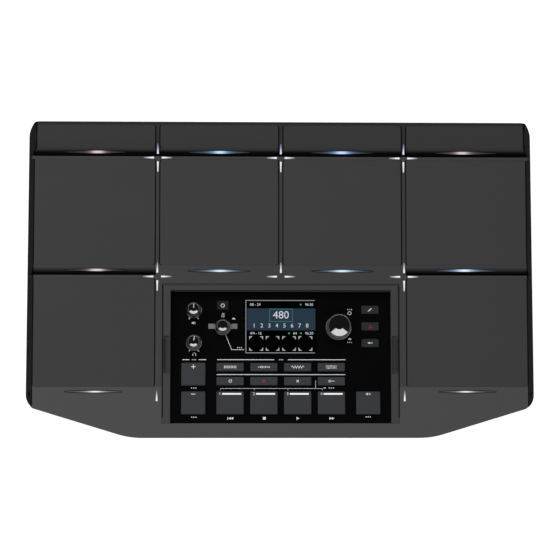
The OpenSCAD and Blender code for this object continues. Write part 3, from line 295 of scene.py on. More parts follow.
def glow(name, from_root=False):
    """Light-guide plastic lit from its middle or its root in its lamp's tint, frosted grey where unlit, with
    painted shade at its rim and ends.
    """
    finish = Finish(name)

    def held(label, out="Fac"):
        return finish.node("ShaderNodeAttribute", out=out, attribute_name=label)

    along, across, tint = held("along"), held("across"), held("tint", "Color")
    cells = finish.noise(0.9, 2)
    if from_root:
        edge = 1 - finish.ramp(abs(across), 0.3, 1.0) * 0.65
        light = (1 - finish.ramp(along, -0.5, 1.0) * tint.output("Alpha")) * edge
        core = finish.ramp(along, 0.2, -0.9) * 0.7
    else:
        lamp = held("lamp", "Vector")
        reach = finish.node("ShaderNodeSeparateXYZ", {0: lamp})
        shift, fall, spread = reach.output("Y"), reach.output("Z"), lamp.output("Alpha")
        away = abs(along - shift) / reach
        thin = finish.ramp(abs(across), 0.2, 0.8) * (1 - spread)
        light = (1 - thin) / (1 + away ** fall)
        core = finish.ramp(away, 1.1, 0.0) * tint.output("Alpha")
    colour = finish.blend(core, tint, (1, 1, 1))
    lit = finish.blend(light * (0.92 + cells * 0.08), (0, 0, 0), colour)
    # Painted shade: the rim and the ends of a guide darker, where it meets its slot.
    rim = finish.ramp(abs(across), 0.6, 0.95).most(finish.ramp(abs(along), 0.95, 0.99))
    return finish.done(Base_Color=finish.blend(rim, finish.blend(cells, 0.042, 0.055), 0.018),
                       Roughness=0.34 + cells * 0.1, Normal=finish.bump(cells, 0.02), Emission_Color=lit,
                       Emission_Strength=1.0, Specular_IOR_Level=0.1)


def ink(name, tone):
    """Screen print: slightly uneven cover."""
    finish = Finish(name)
    cover = finish.noise(0.5, 3)
    colour = finish.blend(cover * 0.3, tone, tuple(c * 0.7 for c in tone))
    return finish.done(Base_Color=colour, Roughness=0.55 + cover * 0.1, Normal=finish.bump(cover, 0.006))


def lit_ink(name, tone, strength=1.0):
    """Lit display colour behind glass, with a fine pixel weave."""
    finish = Finish(name)
    cells, rows = [finish.node("ShaderNodeTexWave", {"Vector": finish.place, "Scale": WEAVE}, out="Fac",
                               bands_direction=axis) for axis in ("X", "Y")]
    weave = 1 - cells * rows * 0.12
    lit = finish.blend(weave, (0, 0, 0), tone)
    return finish.done(Base_Color=(0.004, 0.004, 0.005), Roughness=0.2 + weave * 0.02, Emission_Color=lit,
                       Emission_Strength=strength, Specular_IOR_Level=0.04)


# Tone, roughness, grain and its relief (mm), share of clouds, rounding of edges (mm), specular level, painted
# light and shade.
MOULDED = {
    "pad_rubber": (0.0565, 0.72, 0.55, 0.05, 0.05, 0, 0.3),
    # The bars' rubber is the pad rubber with painted shade: a darker copy for their crowned tops.
    "bar_rubber": ((0.046, 0.046, 0.0462), 0.72, 0.55, 0.05, 0.05, 0, 0.3),
    "case_plastic": (PLASTIC, 0.58, 0.4, 0.03, 0.04, 0.35, 0.015, case_shade),
    "surround_plastic": (PLASTIC, 0.56, 0.4, 0.03, 0.04, 0.3, 0.05, surround_shade),
    "cover_plastic": ((0.046, 0.046, 0.0465), 0.62, 0.6, 0.05, 0.06, 0.3, 0.1),
    "panel_plastic": ((0.0025, 0.0026, 0.003), 0.5, 0.35, 0.02, 0.1, 0.2, 0.03),
    "button_plastic": ((0.047, 0.05, 0.055), 0.6, 0.35, 0.02, 0.04, 0.25, 0.3),
    "small_button": ((0.0265, 0.0285, 0.031), 0.6, 0.35, 0.02, 0.04, 0.25, 0.3),
    "power_button": ((0.0145, 0.0145, 0.015), 0.6, 0.35, 0.02, 0.04, 0.25, 0.3),
    "display_glass": ((0.001, 0.001, 0.0012), 0.12, 6.0, 0.001, 0.2, 0, 0.04),
    "seal_rubber": ((0.05, 0.05, 0.051), 0.75, 0.5, 0.03, 0.05),
    "foot_rubber": (0.012, 0.8, 0.7, 0.06, 0.06),
    "foam": ((0.09, 0.09, 0.1), 0.95, 0.5, 0.25, 0.1),
    "socket_plastic": ((0.009, 0.009, 0.0095), 0.45, 0.4, 0.02, 0.06, 0.15),
    "switch_plastic": (0.02, 0.5, 0.4, 0.02, 0.06),
    "rotor_plastic": (0.05, 0.5, 0.4, 0.02, 0.06),
    "circuit_board": ((0.01, 0.06, 0.025), 0.4, 0.8, 0.02, 0.12),
    "jack_plate_steel": ((0.011, 0.011, 0.012), 0.5, 0.5, 0.04, 0.06, 0.2),
}
# Tone and roughness.
BRUSHED = {
    "strike_steel": ((0.5, 0.5, 0.5), 0.32),
    "display_metal": ((0.45, 0.45, 0.46), 0.32),
    "sensor_brass": ((0.66, 0.5, 0.22), 0.32),
    "control_metal": ((0.5, 0.5, 0.5), 0.32),
    "socket_metal": ((0.55, 0.55, 0.54), 0.25),
    "screw_steel": ((0.05, 0.05, 0.052), 0.35),
    "shaft_metal": ((0.55, 0.55, 0.54), 0.25),
}
PRINTED = {"white_ink": (0.9, 0.9, 0.92), "grey_ink": (0.22, 0.22, 0.23), "red_ink": (0.42, 0.012, 0.045)}
LIT = {
    "lamp_white": (0.95, 0.95, 0.97),
    "screen_band": (0.018, 0.036, 0.056),
    "screen_teal": (0.04, 0.17, 0.17),
    "screen_text": (0.62, 0.66, 0.7),
    "screen_green": (0.04, 0.4, 0.09),
    "screen_grey": (0.4, 0.42, 0.44),
}
MATERIALS = {
    **{name: moulded(name, *row) for name, row in MOULDED.items()},
    **{name: brushed(name, *row) for name, row in BRUSHED.items()},
    **{name: ink(name, tone) for name, tone in PRINTED.items()},
    **{name: lit_ink(name, tone) for name, tone in LIT.items()},
    "screen_line": lit_ink("screen_line", (0.34, 0.35, 0.37), 0.85),
    "lens_plastic": glow("lens_plastic"),
    "star_plastic": glow("star_plastic", True),
    "knob_plastic": moulded("knob_plastic", (0.01, 0.01, 0.011), 0.3, 0.3, 0.01, 0.08, Coat_Weight=1.0,
                            Coat_Roughness=0.05, Coat_IOR=2.0),
    "knob_dish": moulded("knob_dish", (0.003, 0.003, 0.0035), 0.1, 3.0, 0.002, 0.1, specular=0.1,
                         Coat_Weight=1.0, Coat_Roughness=0.04, Coat_IOR=3.2),
}
NODE_FINISHES = {"edit_button": "small_button", "write_button": "small_button", "exit_button": "small_button",
                 "power_button": "power_button"}


def dress_nodes():
    """Gives every CAD node its own finish or that of its slot."""
    for part in frame["record"]["subparts"]:
        held = NODES[part["node"]].data.materials
        held.clear()
        held.append(MATERIALS[NODE_FINISHES.get(part["node"], part["material_slot"])])


# Mesh helpers


def add_piece(name, mesh, materials, body, replaced=(), crease=35):
    """Puts a finished mesh in the scene as a piece that rides on a body."""
    mesh.name = name
    for material in materials[len(mesh.materials):]:
        mesh.materials.append(MATERIALS[material])
    mesh.polygons.foreach_set("use_smooth", [True] * len(mesh.polygons))
    mesh.set_sharp_from_angle(angle=math.radians(crease))
    made = bpy.data.objects.new(name, mesh)
    SCENE.collection.objects.link(made)
    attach(made, body)
    if replaced:
        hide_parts(*replaced)
    return made


def mesh_from(bm):
    """Mesh of a closed bmesh, merged and facing outwards."""
    bmesh.ops.remove_doubles(bm, verts=bm.verts, dist=1e-7)
    bmesh.ops.recalc_face_normals(bm, faces=bm.faces)
    mesh = bpy.data.meshes.new("piece")
    bm.to_mesh(mesh)
    bm.free()
    return mesh


def skin(bm, near, far, finish=0):
    """Faces between two equal rings of vertices, in one of the piece's finishes."""
    for i in range(len(near)):
        j = (i + 1) % len(near)
        bm.faces.new((near[i], near[j], far[j], far[i])).material_index = finish


def loft(bm, sections, closed=False):
    """Skin through equal sections of points, with flat ends, or closed on itself."""
    rows = [[bm.verts.new(point) for point in section] for section in sections]
    for near, far in zip(rows, rows[1:] + rows[:1] if closed else rows[1:]):
        skin(bm, near, far)
    if not closed:
        bm.faces.new(list(reversed(rows[0])))
        bm.faces.new(rows[-1])


def quarter(radius, steps=5):
    """(run, drop) pairs of a quarter round from the side to the top."""
    turns = [math.pi / 2 * i / steps for i in range(steps + 1)]
    return [(radius * (1 - math.cos(turn)), radius * (1 - math.sin(turn))) for turn in turns]


def islands(node):
    """Loose solids of a CAD node, each as a list of (triangle, normal, area) in a merged copy."""
    bm = bmesh.new()
    bm.from_mesh(NODES[node].data)
    bmesh.ops.remove_doubles(bm, verts=bm.verts, dist=1e-6)
    bm.faces.ensure_lookup_table()
    seen, found = set(), []
    for first in bm.faces:
        if first.index in seen:
            continue
        seen.add(first.index)
        stack, solid = [first], []
        while stack:
            face = stack.pop()
            solid.append(([v.co.copy() for v in face.verts], face.normal.copy(), face.calc_area()))
            for edge in face.edges:
                for other in edge.link_faces:
                    if other.index not in seen:
                        seen.add(other.index)
                        stack.append(other)
        found.append(solid)
    bm.free()
    return found


def upper_face(solid):
    """Corner points and normal of a solid's largest flat face that looks up."""
    sums = {}
    for points, normal, area in solid:
        if normal.z > 0.2:
            sums.setdefault(tuple(round(n, 2) for n in normal), []).append((area, points, normal))
    largest = max(sums.values(), key=lambda group: sum(area for area, points, normal in group))
    return [p for area, points, normal in largest for p in points], largest[0][2]


def box_of(solid):
    """Lowest and highest corner of a solid."""
    points = [p for corners, normal, area in solid for p in corners]
    return [Vector(pick(p[i] for p in points) for i in range(3)) for pick in (min, max)]


def sloped(y0, z0):
    """Height of the deck plane through (y0, z0)."""
    return lambda y: z0 + (y - y0) * DECK_TILT


# Rubber pads and foam


def round_drop(run, radius):
    """Drop of a quarter round at a distance run from its side."""
    return radius - math.sqrt(max(0, radius ** 2 - max(0, radius - run) ** 2))


def add_pad(node, top, bottom, spans, rubber):
    """Slab in a node's place between bottom(y) and top(y), with rounded sides, ends and corners."""
    lo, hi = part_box(node)
    lo, hi = lo - PAD_LIP, hi + PAD_LIP
    side, corner = PAD_SIDE_ROUND * MM, PAD_CORNER * MM
    edge = quarter(PAD_END_ROUND * MM)
    runs = sorted({run for radius in (side, corner) for run, drop in quarter(radius)})

    def section(x, run):
        inset = round_drop(run, corner)
        rear = [(hi.y - inset - away, drop) for away, drop in edge]
        front = [(lo.y + inset + away, drop) for away, drop in reversed(edge)]
        span = [(rear[-1][0] + (front[0][0] - rear[-1][0]) * i / spans, 0) for i in range(1, spans)]
        line = [(y, top(y) - round_drop(run, side) - drop) for y, drop in rear + span + front]
        foot_rear, foot_front = [(y, bottom(y)) for y in (hi.y - inset, lo.y + inset)]
        return [Vector((x, y, z)) for y, z in [foot_rear, *line, foot_front]]

    bm = bmesh.new()
    left = [section(lo.x + run, run) for run in runs]
    right = [section(hi.x - run, run) for run in reversed(runs)]
    loft(bm, left + right)
    add_piece(node + "_rubber", mesh_from(bm), [rubber], BODY_OF[node], [node])


def make_pads():
    """Ten rubber pads; the rear bars are crowned across their width."""
    for node in [n for n in NODES if n.startswith(("main_pad", "front_pad"))]:
        lo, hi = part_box(node)
        add_pad(node, sloped(hi.y, hi.z), sloped(lo.y, lo.z), FLAT_SPANS, "pad_rubber")
    for node in [n for n in NODES if n.startswith("bar_pad")]:
        lo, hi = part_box(node)
        crest = max((v.co for v in NODES[node].data.vertices), key=lambda p: p.z)
        radius = CROWN_RADIUS * MM

        def crown(y):
            return hi.z - radius + math.sqrt(radius ** 2 - (y - crest.y) ** 2)

        add_pad(node, crown, lambda y: lo.z, CROWN_SPANS, "bar_rubber")


def rounded_loop(lo, hi, radius, steps=6):
    """Points round the rectangle from lo to hi, with rounded corners."""
    left, right, front, rear = lo.x + radius, hi.x - radius, lo.y + radius, hi.y - radius
    loop = []
    for k, (x, y) in enumerate(((right, rear), (left, rear), (left, front), (right, front))):
        for turn in (math.pi / 2 * (k + i / steps) for i in range(steps + 1)):
            loop.append(Vector((x + radius * math.cos(turn), y + radius * math.sin(turn), 0)))
    return loop


def make_cushions():
    """Foam frames under the strike plates, round the sensors, squeezed so that their sides bulge."""
    bm = bmesh.new()
    for solid in islands("pad_cushions"):
        lo, hi = box_of(solid)
        top, bottom = sloped(hi.y, hi.z), sloped(lo.y, lo.z)
        rims = [rounded_loop(lo + band, hi - band, PAD_CORNER * MM) for band in (Vector(), CUSHION_BAND)]
        sections = []
        for outer, inner in zip(*rims):
            across = (inner - outer).normalized() * MM
            spots = [(outer + across * inset, share) for inset, share in CUSHION_BULGE]
            spots += [(inner - across * inset, share) for inset, share in reversed(CUSHION_BULGE)]
            sections.append([Vector((p.x, p.y, bottom(p.y) + (top(p.y) - bottom(p.y)) * share))
                             for p, share in spots])
        loft(bm, sections, closed=True)
    add_piece("pad_cushion_foam", mesh_from(bm), ["foam"], BODY_OF["pad_cushions"],
                        ["pad_cushions"])


def make_seal():
    """Soft seal that nearly fills the groove behind the panel surround."""
    lo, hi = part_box("panel_surround")
    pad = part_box("main_pad_1")[1]
    deck = sloped(pad.y, pad.z)
    rear, front = hi.y + SEAL_REAR, hi.y - SEAL_FRONT
    corner = SEAL_SINK + SEAL_ROUND
    profile = ((front, SEAL_DEPTH), (front, corner), (front + SEAL_ROUND, SEAL_SINK),
               (rear - SEAL_ROUND, SEAL_SINK), (rear, corner), (rear, SEAL_DEPTH))
    bm = bmesh.new()
    loft(bm, [[Vector((x, y, deck(y) - drop)) for y, drop in profile] for x in (lo.x, hi.x)])
    add_piece("surround_seal", mesh_from(bm), ["seal_rubber"], BODY_OF["panel_surround"])


# Shapes grown on points


def new_tree(name, sizes):
    """Empty geometry tree that is given points, named sizes in metres and a finish."""
    group = bpy.data.node_groups.new(name, "GeometryNodeTree")
    kinds = {"Points": "Geometry", **{size: "Float" for size in sizes}, "Finish": "Material"}
    sockets = {}
    for label, kind in kinds.items():
        socket = group.interface.new_socket(name=label, in_out="INPUT", socket_type="NodeSocket" + kind)
        sockets[label] = socket.identifier
    group.interface.new_socket(name="Shapes", in_out="OUTPUT", socket_type="NodeSocketGeometry")
    tree = Tree(group)
    source = tree.node("NodeGroupInput")
    return tree, sockets, {label: source.output(label) for label in kinds}


def set_on_points(tree, given, shape, turn):
    """Closes a tree: the shape on every point, turned, made real and finished."""
    copies = tree.node("GeometryNodeInstanceOnPoints",
                       {"Points": given["Points"], "Instance": shape, "Rotation": turn})
    solid = tree.node("GeometryNodeRealizeInstances", {"Geometry": copies})
    finished = tree.node("GeometryNodeSetMaterial", {"Geometry": solid, "Material": given["Finish"]})
    tree.node("NodeGroupOutput", {0: finished})


def points_object(places, turns=(), tints=(), lamps=()):
    """Vertices with their turn, tint and lamp, for a tree to work on."""
    mesh = bpy.data.meshes.new("points")
    mesh.from_pydata(places, [], [])
    for label, kind, rows in (("turn", "vector", turns), ("tint", "color", tints), ("lamp", "color", lamps)):
        if rows:
            held = mesh.attributes.new(label, "FLOAT_" + kind.upper(), "POINT")
            held.data.foreach_set(kind, [c for row in rows for c in row])
    made = bpy.data.objects.new("points", mesh)
    SCENE.collection.objects.link(made)
    return made


def grow(points, tree, sockets, values):
    """Runs a tree on an object's points and returns the result as a plain mesh."""
    modifier = points.modifiers.new("grown", "NODES")
    modifier.node_group = tree.tree
    for label, value in values.items():
        modifier[sockets[label]] = value
    graph = bpy.context.evaluated_depsgraph_get()
    mesh = bpy.data.meshes.new_from_object(points.evaluated_get(graph), preserve_all_data_layers=True,
                                           depsgraph=graph)
    points.modifiers.clear()
    bpy.data.objects.remove(points)
    return mesh


# Light guides

GLOW_SIZES = ("Length", "Taper", "Left end", "Left bulge", "Right end", "Right bulge", "Dome", "Depth")
# Lamps behind the lenses, left to right: colour, white share in the middle, reach to half light (mm), shift
# towards the middle of the case (mm) and steepness of the fall.
LENS_LAMPS = {
    "bar": [((0.72, 0.55, 0.605), 0, 5.3, 2.4, 3.5), ((0.3, 0.68, 1), 0.42, 6.4, 0.5, 2.8),
            ((0.25, 0.5, 1), 0.47, 7.2, 0.5, 3.2), ((0.663, 0.54, 0.58), 0, 5.4, 3.2, 3)],
    "outer": [((0.71, 0.615, 0.645), 0, 5.8, 2.2, 3.7), ((0.45, 0.71, 1), 0.58, 7.8, 2.2, 2.9)],
    "inner": [((0.54, 0.73, 0.94), 0.35, 7.5, 0.9, 2.6), ((0.48, 0.76, 1), 0.42, 7.6, 0.3, 2.8)],
    "front": [((0.97, 0.97, 0.97), 0, 6, 1.8, 2.5), ((0.95, 0.91, 0.925), 0, 5.6, 1.8, 2.6)],
}
# Half widths of a lens as shares of its slot: rear end, rear bulge, front end, front bulge.
LENS_FORMS = {
    "bar": (0.04, 0.28, 0.04, 0.34),
    "outer": (0.04, 0.5, 0.04, 0.12),
    "inner": (0.04, 0.32, 0.04, 0.22),
    "front": (0.2, 0.2, 0.12, 0.32),
}
# Share of the width that is lit, 0 for a thin line in the middle.
LENS_SPREAD = {"bar": 1, "outer": 1, "inner": 1, "front": 0}
# Bars lie behind BAR_ROW, front lenses before FRONT_ROW, and inner lenses within INNER of the middle.
BAR_ROW, FRONT_ROW, INNER = 60 * MM, -40 * MM, 114 * MM
# Height of the domes, and depth of the guides under them.
LENS_DOME, LENS_DEPTH, RAY_DOME, RAY_DEPTH = 0.25 * MM, 1.2 * MM, 0.15 * MM, 1.0 * MM
# Share of a guide's length that counts as its end.
END_SHARE = 0.12
# Colours of the star rays, and the share of light that a ray loses towards its tip unless it points forwards.
RAY_TINT = (0.85, 0.85, 1.0)
REAR_RAY_TINT = (0.55, 0.58, 0.9)
RAY_FADE = 0.72


def glow_tree():
    """Geometry nodes: a domed, tapered bar set on every point, turned and tinted by the point."""
    tree, sockets, given = new_tree("glow bars", GLOW_SIZES)
    block = tree.node("GeometryNodeMeshCube",
                      {"Size": (2, 2, 2), "Vertices X": 49, "Vertices Y": 9, "Vertices Z": 2})
    along = tree.node("ShaderNodeSeparateXYZ", {0: tree.node("GeometryNodeInputPosition")})
    across, up = along.output("Y"), along.output("Z")
    swell = 1 - along * along
    left, right = [given[side + " end"] + given[side + " bulge"] * swell + given["Taper"] * along
                   for side in ("Left", "Right")]
    half = right + (left - right) * across.over(0.0)
    dome = given["Dome"] * (1 - across * across) * swell
    level = dome * (up + 1) / 2 - given["Depth"] * (1 - up) / 2
    at = tree.node("ShaderNodeCombineXYZ", {0: along * given["Length"] / 2, 1: across * half, 2: level})
    for name, value in (("along", along), ("across", across)):
        block = tree.node("GeometryNodeStoreNamedAttribute",
                          {"Geometry": block, "Name": name, "Value": value}, data_type="FLOAT")
    bar = tree.node("GeometryNodeSetPosition", {"Geometry": block, "Position": at})
    turn = tree.node("GeometryNodeInputNamedAttribute", {"Name": "turn"}, data_type="FLOAT_VECTOR")
    set_on_points(tree, given, bar, turn)
    return tree, sockets


def bar_frame(solid, along=None):
    """Middle, turn, length, widths at root and tip, and full width of a light guide's upper face."""
    points, out = upper_face(solid)
    middle = sum(points, Vector()) / len(points)
    if along is None:
        along = max((p - q for p in points for q in points), key=lambda span: span.length)
        along = Vector((1, 0, 0)) if abs(along.x) > abs(along.y) else Vector((0, 1, 0))
        along = (along - out * along.dot(out)).normalized()
    across = out.cross(along).normalized()
    reach = [(p - middle).dot(along) for p in points]
    spread = [(p - middle).dot(across) for p in points]
    low, high = min(reach), max(reach)
    near = END_SHARE * (high - low)
    ends = [[c for r, c in zip(reach, spread) if abs(r - end) < near] for end in (low, high)]
    widths = [max(end) - min(end) for end in ends]
    centre = middle + along * (low + high) / 2 + across * (max(spread) + min(spread)) / 2
    if widths[1] > widths[0]:
        along, across, widths = -along, -across, widths[::-1]
    turn = Matrix((along, across, out)).transposed().to_euler("XYZ")
    return centre, turn, high - low, widths, max(spread) - min(spread)


def make_lights():
    """Spindle lenses in front of the pads and star rays in the ribs."""
    tree, sockets = glow_tree()

    def add_glow(name, node, finish, bars, sizes, *lights):
        points = points_object([bar[0] for bar in bars], [tuple(bar[1]) for bar in bars], *lights)
        values = {**dict(zip(GLOW_SIZES, sizes)), "Finish": MATERIALS[finish]}
        add_piece(name, grow(points, tree, sockets, values), [finish], BODY_OF[node], [node])

    rows = {row: [] for row in LENS_FORMS}
    for solid in islands("pad_light_lenses"):
        lens = bar_frame(solid, Vector((1, 0, 0)))
        x, y, z = lens[0]
        middle_row = "inner" if abs(x) < INNER else "outer"
        rows["bar" if y > BAR_ROW else middle_row if y > FRONT_ROW else "front"].append(lens)
    for row, lenses in rows.items():
        lenses.sort(key=lambda lens: lens[0].x)
        length, width = lenses[0][2], lenses[0][4]
        tints, lamps = [], []
        for (place, turn, *sizes), (tint, white, half, shift, fall) in zip(lenses, LENS_LAMPS[row]):
            heading = (turn.to_matrix() @ Vector((1, 0, 0))).x
            inward = -shift if heading * place.x > 0 else shift
            tints.append((*tint, white))
            lamps.append((half * MM * 2 / length, inward * MM * 2 / length, fall, LENS_SPREAD[row]))
        form = [width * share for share in LENS_FORMS[row]]
        add_glow(row + "_pad_glow", "pad_light_lenses", "lens_plastic", lenses,
                 (length, 0.0, *form, LENS_DOME, LENS_DEPTH), tints, lamps)

    rays = [bar_frame(solid) for solid in islands("star_light_guides")]
    tints = []
    for centre, turn, *sizes in rays:
        heading = turn.to_matrix() @ Vector((1, 0, 0))
        fade = 0.0 if heading.y < -0.3 else RAY_FADE
        rearmost = heading.y > 0.3 and centre.y > BAR_ROW
        tints.append((*(REAR_RAY_TINT if rearmost else RAY_TINT), fade))
    length, (root, tip) = rays[-1][2:4]
    middle, taper = (root + tip) / 4, (tip - root) / 4
    add_glow("star_ray_glow", "star_light_guides", "star_plastic", rays,
             (length, taper, middle, 0.0, middle, 0.0, RAY_DOME, RAY_DEPTH), tints)


# Control panel

PANEL_OUT = Vector(JOINTS["main_volume_turn"]["axis"]).normalized()
PANEL_UP = Vector((0, PANEL_OUT.z, -PANEL_OUT.y))
PANEL_PLATE = [v.co.copy() for v in NODES["control_panel"].data.vertices]
PANEL_LEVEL = max(p.dot(PANEL_OUT) for p in PANEL_PLATE)
PANEL_TOP = [p.dot(PANEL_UP) for p in PANEL_PLATE if p.dot(PANEL_OUT) > PANEL_LEVEL - 0.05 * MM]
PANEL_MID_UP = (max(PANEL_TOP) + min(PANEL_TOP)) / 2


def on_panel(u, v, h):
    """Point u right, v up and h above the panel's face, from its middle, in millimetres."""
    return Vector((u * MM, 0, 0)) + PANEL_UP * (PANEL_MID_UP + v * MM) + PANEL_OUT * (PANEL_LEVEL + h * MM)


def panel_spots(node):
    """(u, v, h) of a node's points on the panel, in millimetres."""
    return [(p.co.x / MM, (p.co.dot(PANEL_UP) - PANEL_MID_UP) / MM, (p.co.dot(PANEL_OUT) - PANEL_LEVEL) / MM)
            for p in NODES[node].data.vertices]


def panel_place(node):
    """Middle (u, v), half width and height of a node on the panel, in millimetres."""
    spots = panel_spots(node)
    low, high = [[pick(s[i] for s in spots) for i in range(3)] for pick in (min, max)]
    return (low[0] + high[0]) / 2, (low[1] + high[1]) / 2, (high[0] - low[0]) / 2, high[2]


# Knobs

# Number of flutes, and radius of the dish's floor in millimetres.
KNOBS = {"main_volume": (34, 2.4), "phones": (34, 2.4), "metronome": (34, 2.4), "value": (48, 3.4)}
# Turn in degrees at which a knob's pointer stands in the photo.
POINTERS = {"main_volume": 0, "phones": 10}
POINTER_HALF_WIDTH, POINTER_SPANS = 0.3, 16
# Heights of a pointer's lower and upper side above the dish.
POINTER_FOOT, POINTER_TOP = 0.01, 0.07
# Shares of the wall's height and of the dish's radius at which a knob has a ring of points.
WALL_PARTS = (0, 0.04, 0.35, 0.7, 0.96, 1)
DISH_PARTS = (1, 0.94, 0.85, 0.75, 0.66, 0.6, 0.56, 0.53, 0.5, 0.47, 0.44, 0.41, 0.38, 0.35, 0.32, 0.29, 0.25,
              0.1, 0.02)


def dish_level(reach, edge, floor, height):
    """Height of a knob's dish at a distance from its middle."""
    climb = (reach - floor + math.hypot(reach - floor, 0.2)) / 2
    return height - DISH_STEP - (edge - floor - climb) * DISH_SLOPE


def knob_profile(base, top, floor, height):
    """(radius, height, depth of flutes, dish) from the bore over the skirt and rim to the dish."""
    rim = top - RIM_WIDTH
    edge = rim - DISH_RIM
    foot, shelf = KNOB_GAP, base - 1.15
    profile = [(0.02, BORE_TOP, 0, 0), (BORE_RADIUS, BORE_TOP, 0, 0), (BORE_RADIUS, foot, 0, 0),
               (base - 0.25, foot, 0, 0), (base, foot + 0.25, 0, 0), (base, foot + 1.05, SKIRT_FLUTE, 0),
               (base - 0.1, foot + 1.2, SKIRT_FLUTE, 0), (base - 1.1, foot + 1.65, 0, 0)]
    for part in WALL_PARTS:
        radius, level = shelf + (top + 0.1 - shelf) * part, foot + 1.7 + (height - foot - 2.5) * part
        profile.append((radius, level, FLUTE if part else 0, 0))
    profile += [(top - 0.1, height - 0.3, SKIRT_FLUTE, 0), (top - 0.3, height - 0.06, 0, 0),
                (top - 0.5, height, 0, 0), (rim, height - 0.08, 0, 0), (rim - 0.12, height - 0.22, 0, 1)]
    dish = [(edge * part, dish_level(edge * part, edge, floor, height), 0, 1) for part in DISH_PARTS]
    return profile + dish


def add_pointer(name, mid_u, mid_v, edge, floor, height):
    """White pointer line from the rim towards the middle of the dish."""
    turn = math.radians(POINTERS[name])
    ahead = Vector((math.sin(turn), math.cos(turn)))
    side = Vector((ahead.y, -ahead.x)) * POINTER_HALF_WIDTH
    rows = []
    for i in range(POINTER_SPANS + 1):
        reach = edge * (0.97 - 0.8 * i / POINTER_SPANS)
        level = dish_level(reach, edge, floor, height)
        left, right = ahead * reach - side, ahead * reach + side
        corners = ((left, POINTER_FOOT), (right, POINTER_FOOT), (right, POINTER_TOP), (left, POINTER_TOP))
        rows.append([on_panel(mid_u + spot.x, mid_v + spot.y, level + up) for spot, up in corners])
    bm = bmesh.new()
    loft(bm, rows)
    add_piece(name + "_pointer", mesh_from(bm), ["white_ink"], BODY_OF[name + "_knob"])


def make_knobs():
    """Fluted knobs with a skirt, a rounded rim and a glossy dish, turned about their own shafts."""
    dishes = {}
    for name, (flutes, floor) in KNOBS.items():
        node = name + "_knob"
        mid_u, mid_v, base, height = panel_place(node)
        top = max(math.hypot(u - mid_u, v - mid_v) for u, v, h in panel_spots(node) if h > height - 0.05)
        profile = knob_profile(base, top, floor, height)
        count = flutes * FLUTE_POINTS
        bm = bmesh.new()
        rings = []
        for radius, level, flute, dish in profile:
            ring = []
            for i in range(count):
                turn = 2 * math.pi * i / count
                reach = radius - flute * (0.5 - 0.5 * math.cos(flutes * turn)) ** 1.5
                u, v = mid_u + reach * math.sin(turn), mid_v + reach * math.cos(turn)
                ring.append(bm.verts.new(on_panel(u, v, level)))
            rings.append(ring)
        for near, far, (radius, level, flute, dish) in zip(rings, rings[1:], profile[1:]):
            skin(bm, near, far, dish)
        bm.faces.new(rings[0])
        bm.faces.new(rings[-1]).material_index = 1
        add_piece(name + "_knob_grip", mesh_from(bm), ["knob_plastic", "knob_dish"], BODY_OF[node],
                  [node], 40)
        dishes[name] = (mid_u, mid_v, top - RIM_WIDTH - DISH_RIM, floor, height)
    for name in POINTERS:
        add_pointer(name, *dishes[name])


# Printed marks


def round_points(u, v, radius, start, stop, steps):
    """Points along a circle round (u, v), from start to stop degrees."""
    turns = [math.radians(start + (stop - start) * i / steps) for i in range(steps + 1)]
    return [(u + radius * math.cos(t), v + radius * math.sin(t)) for t in turns]


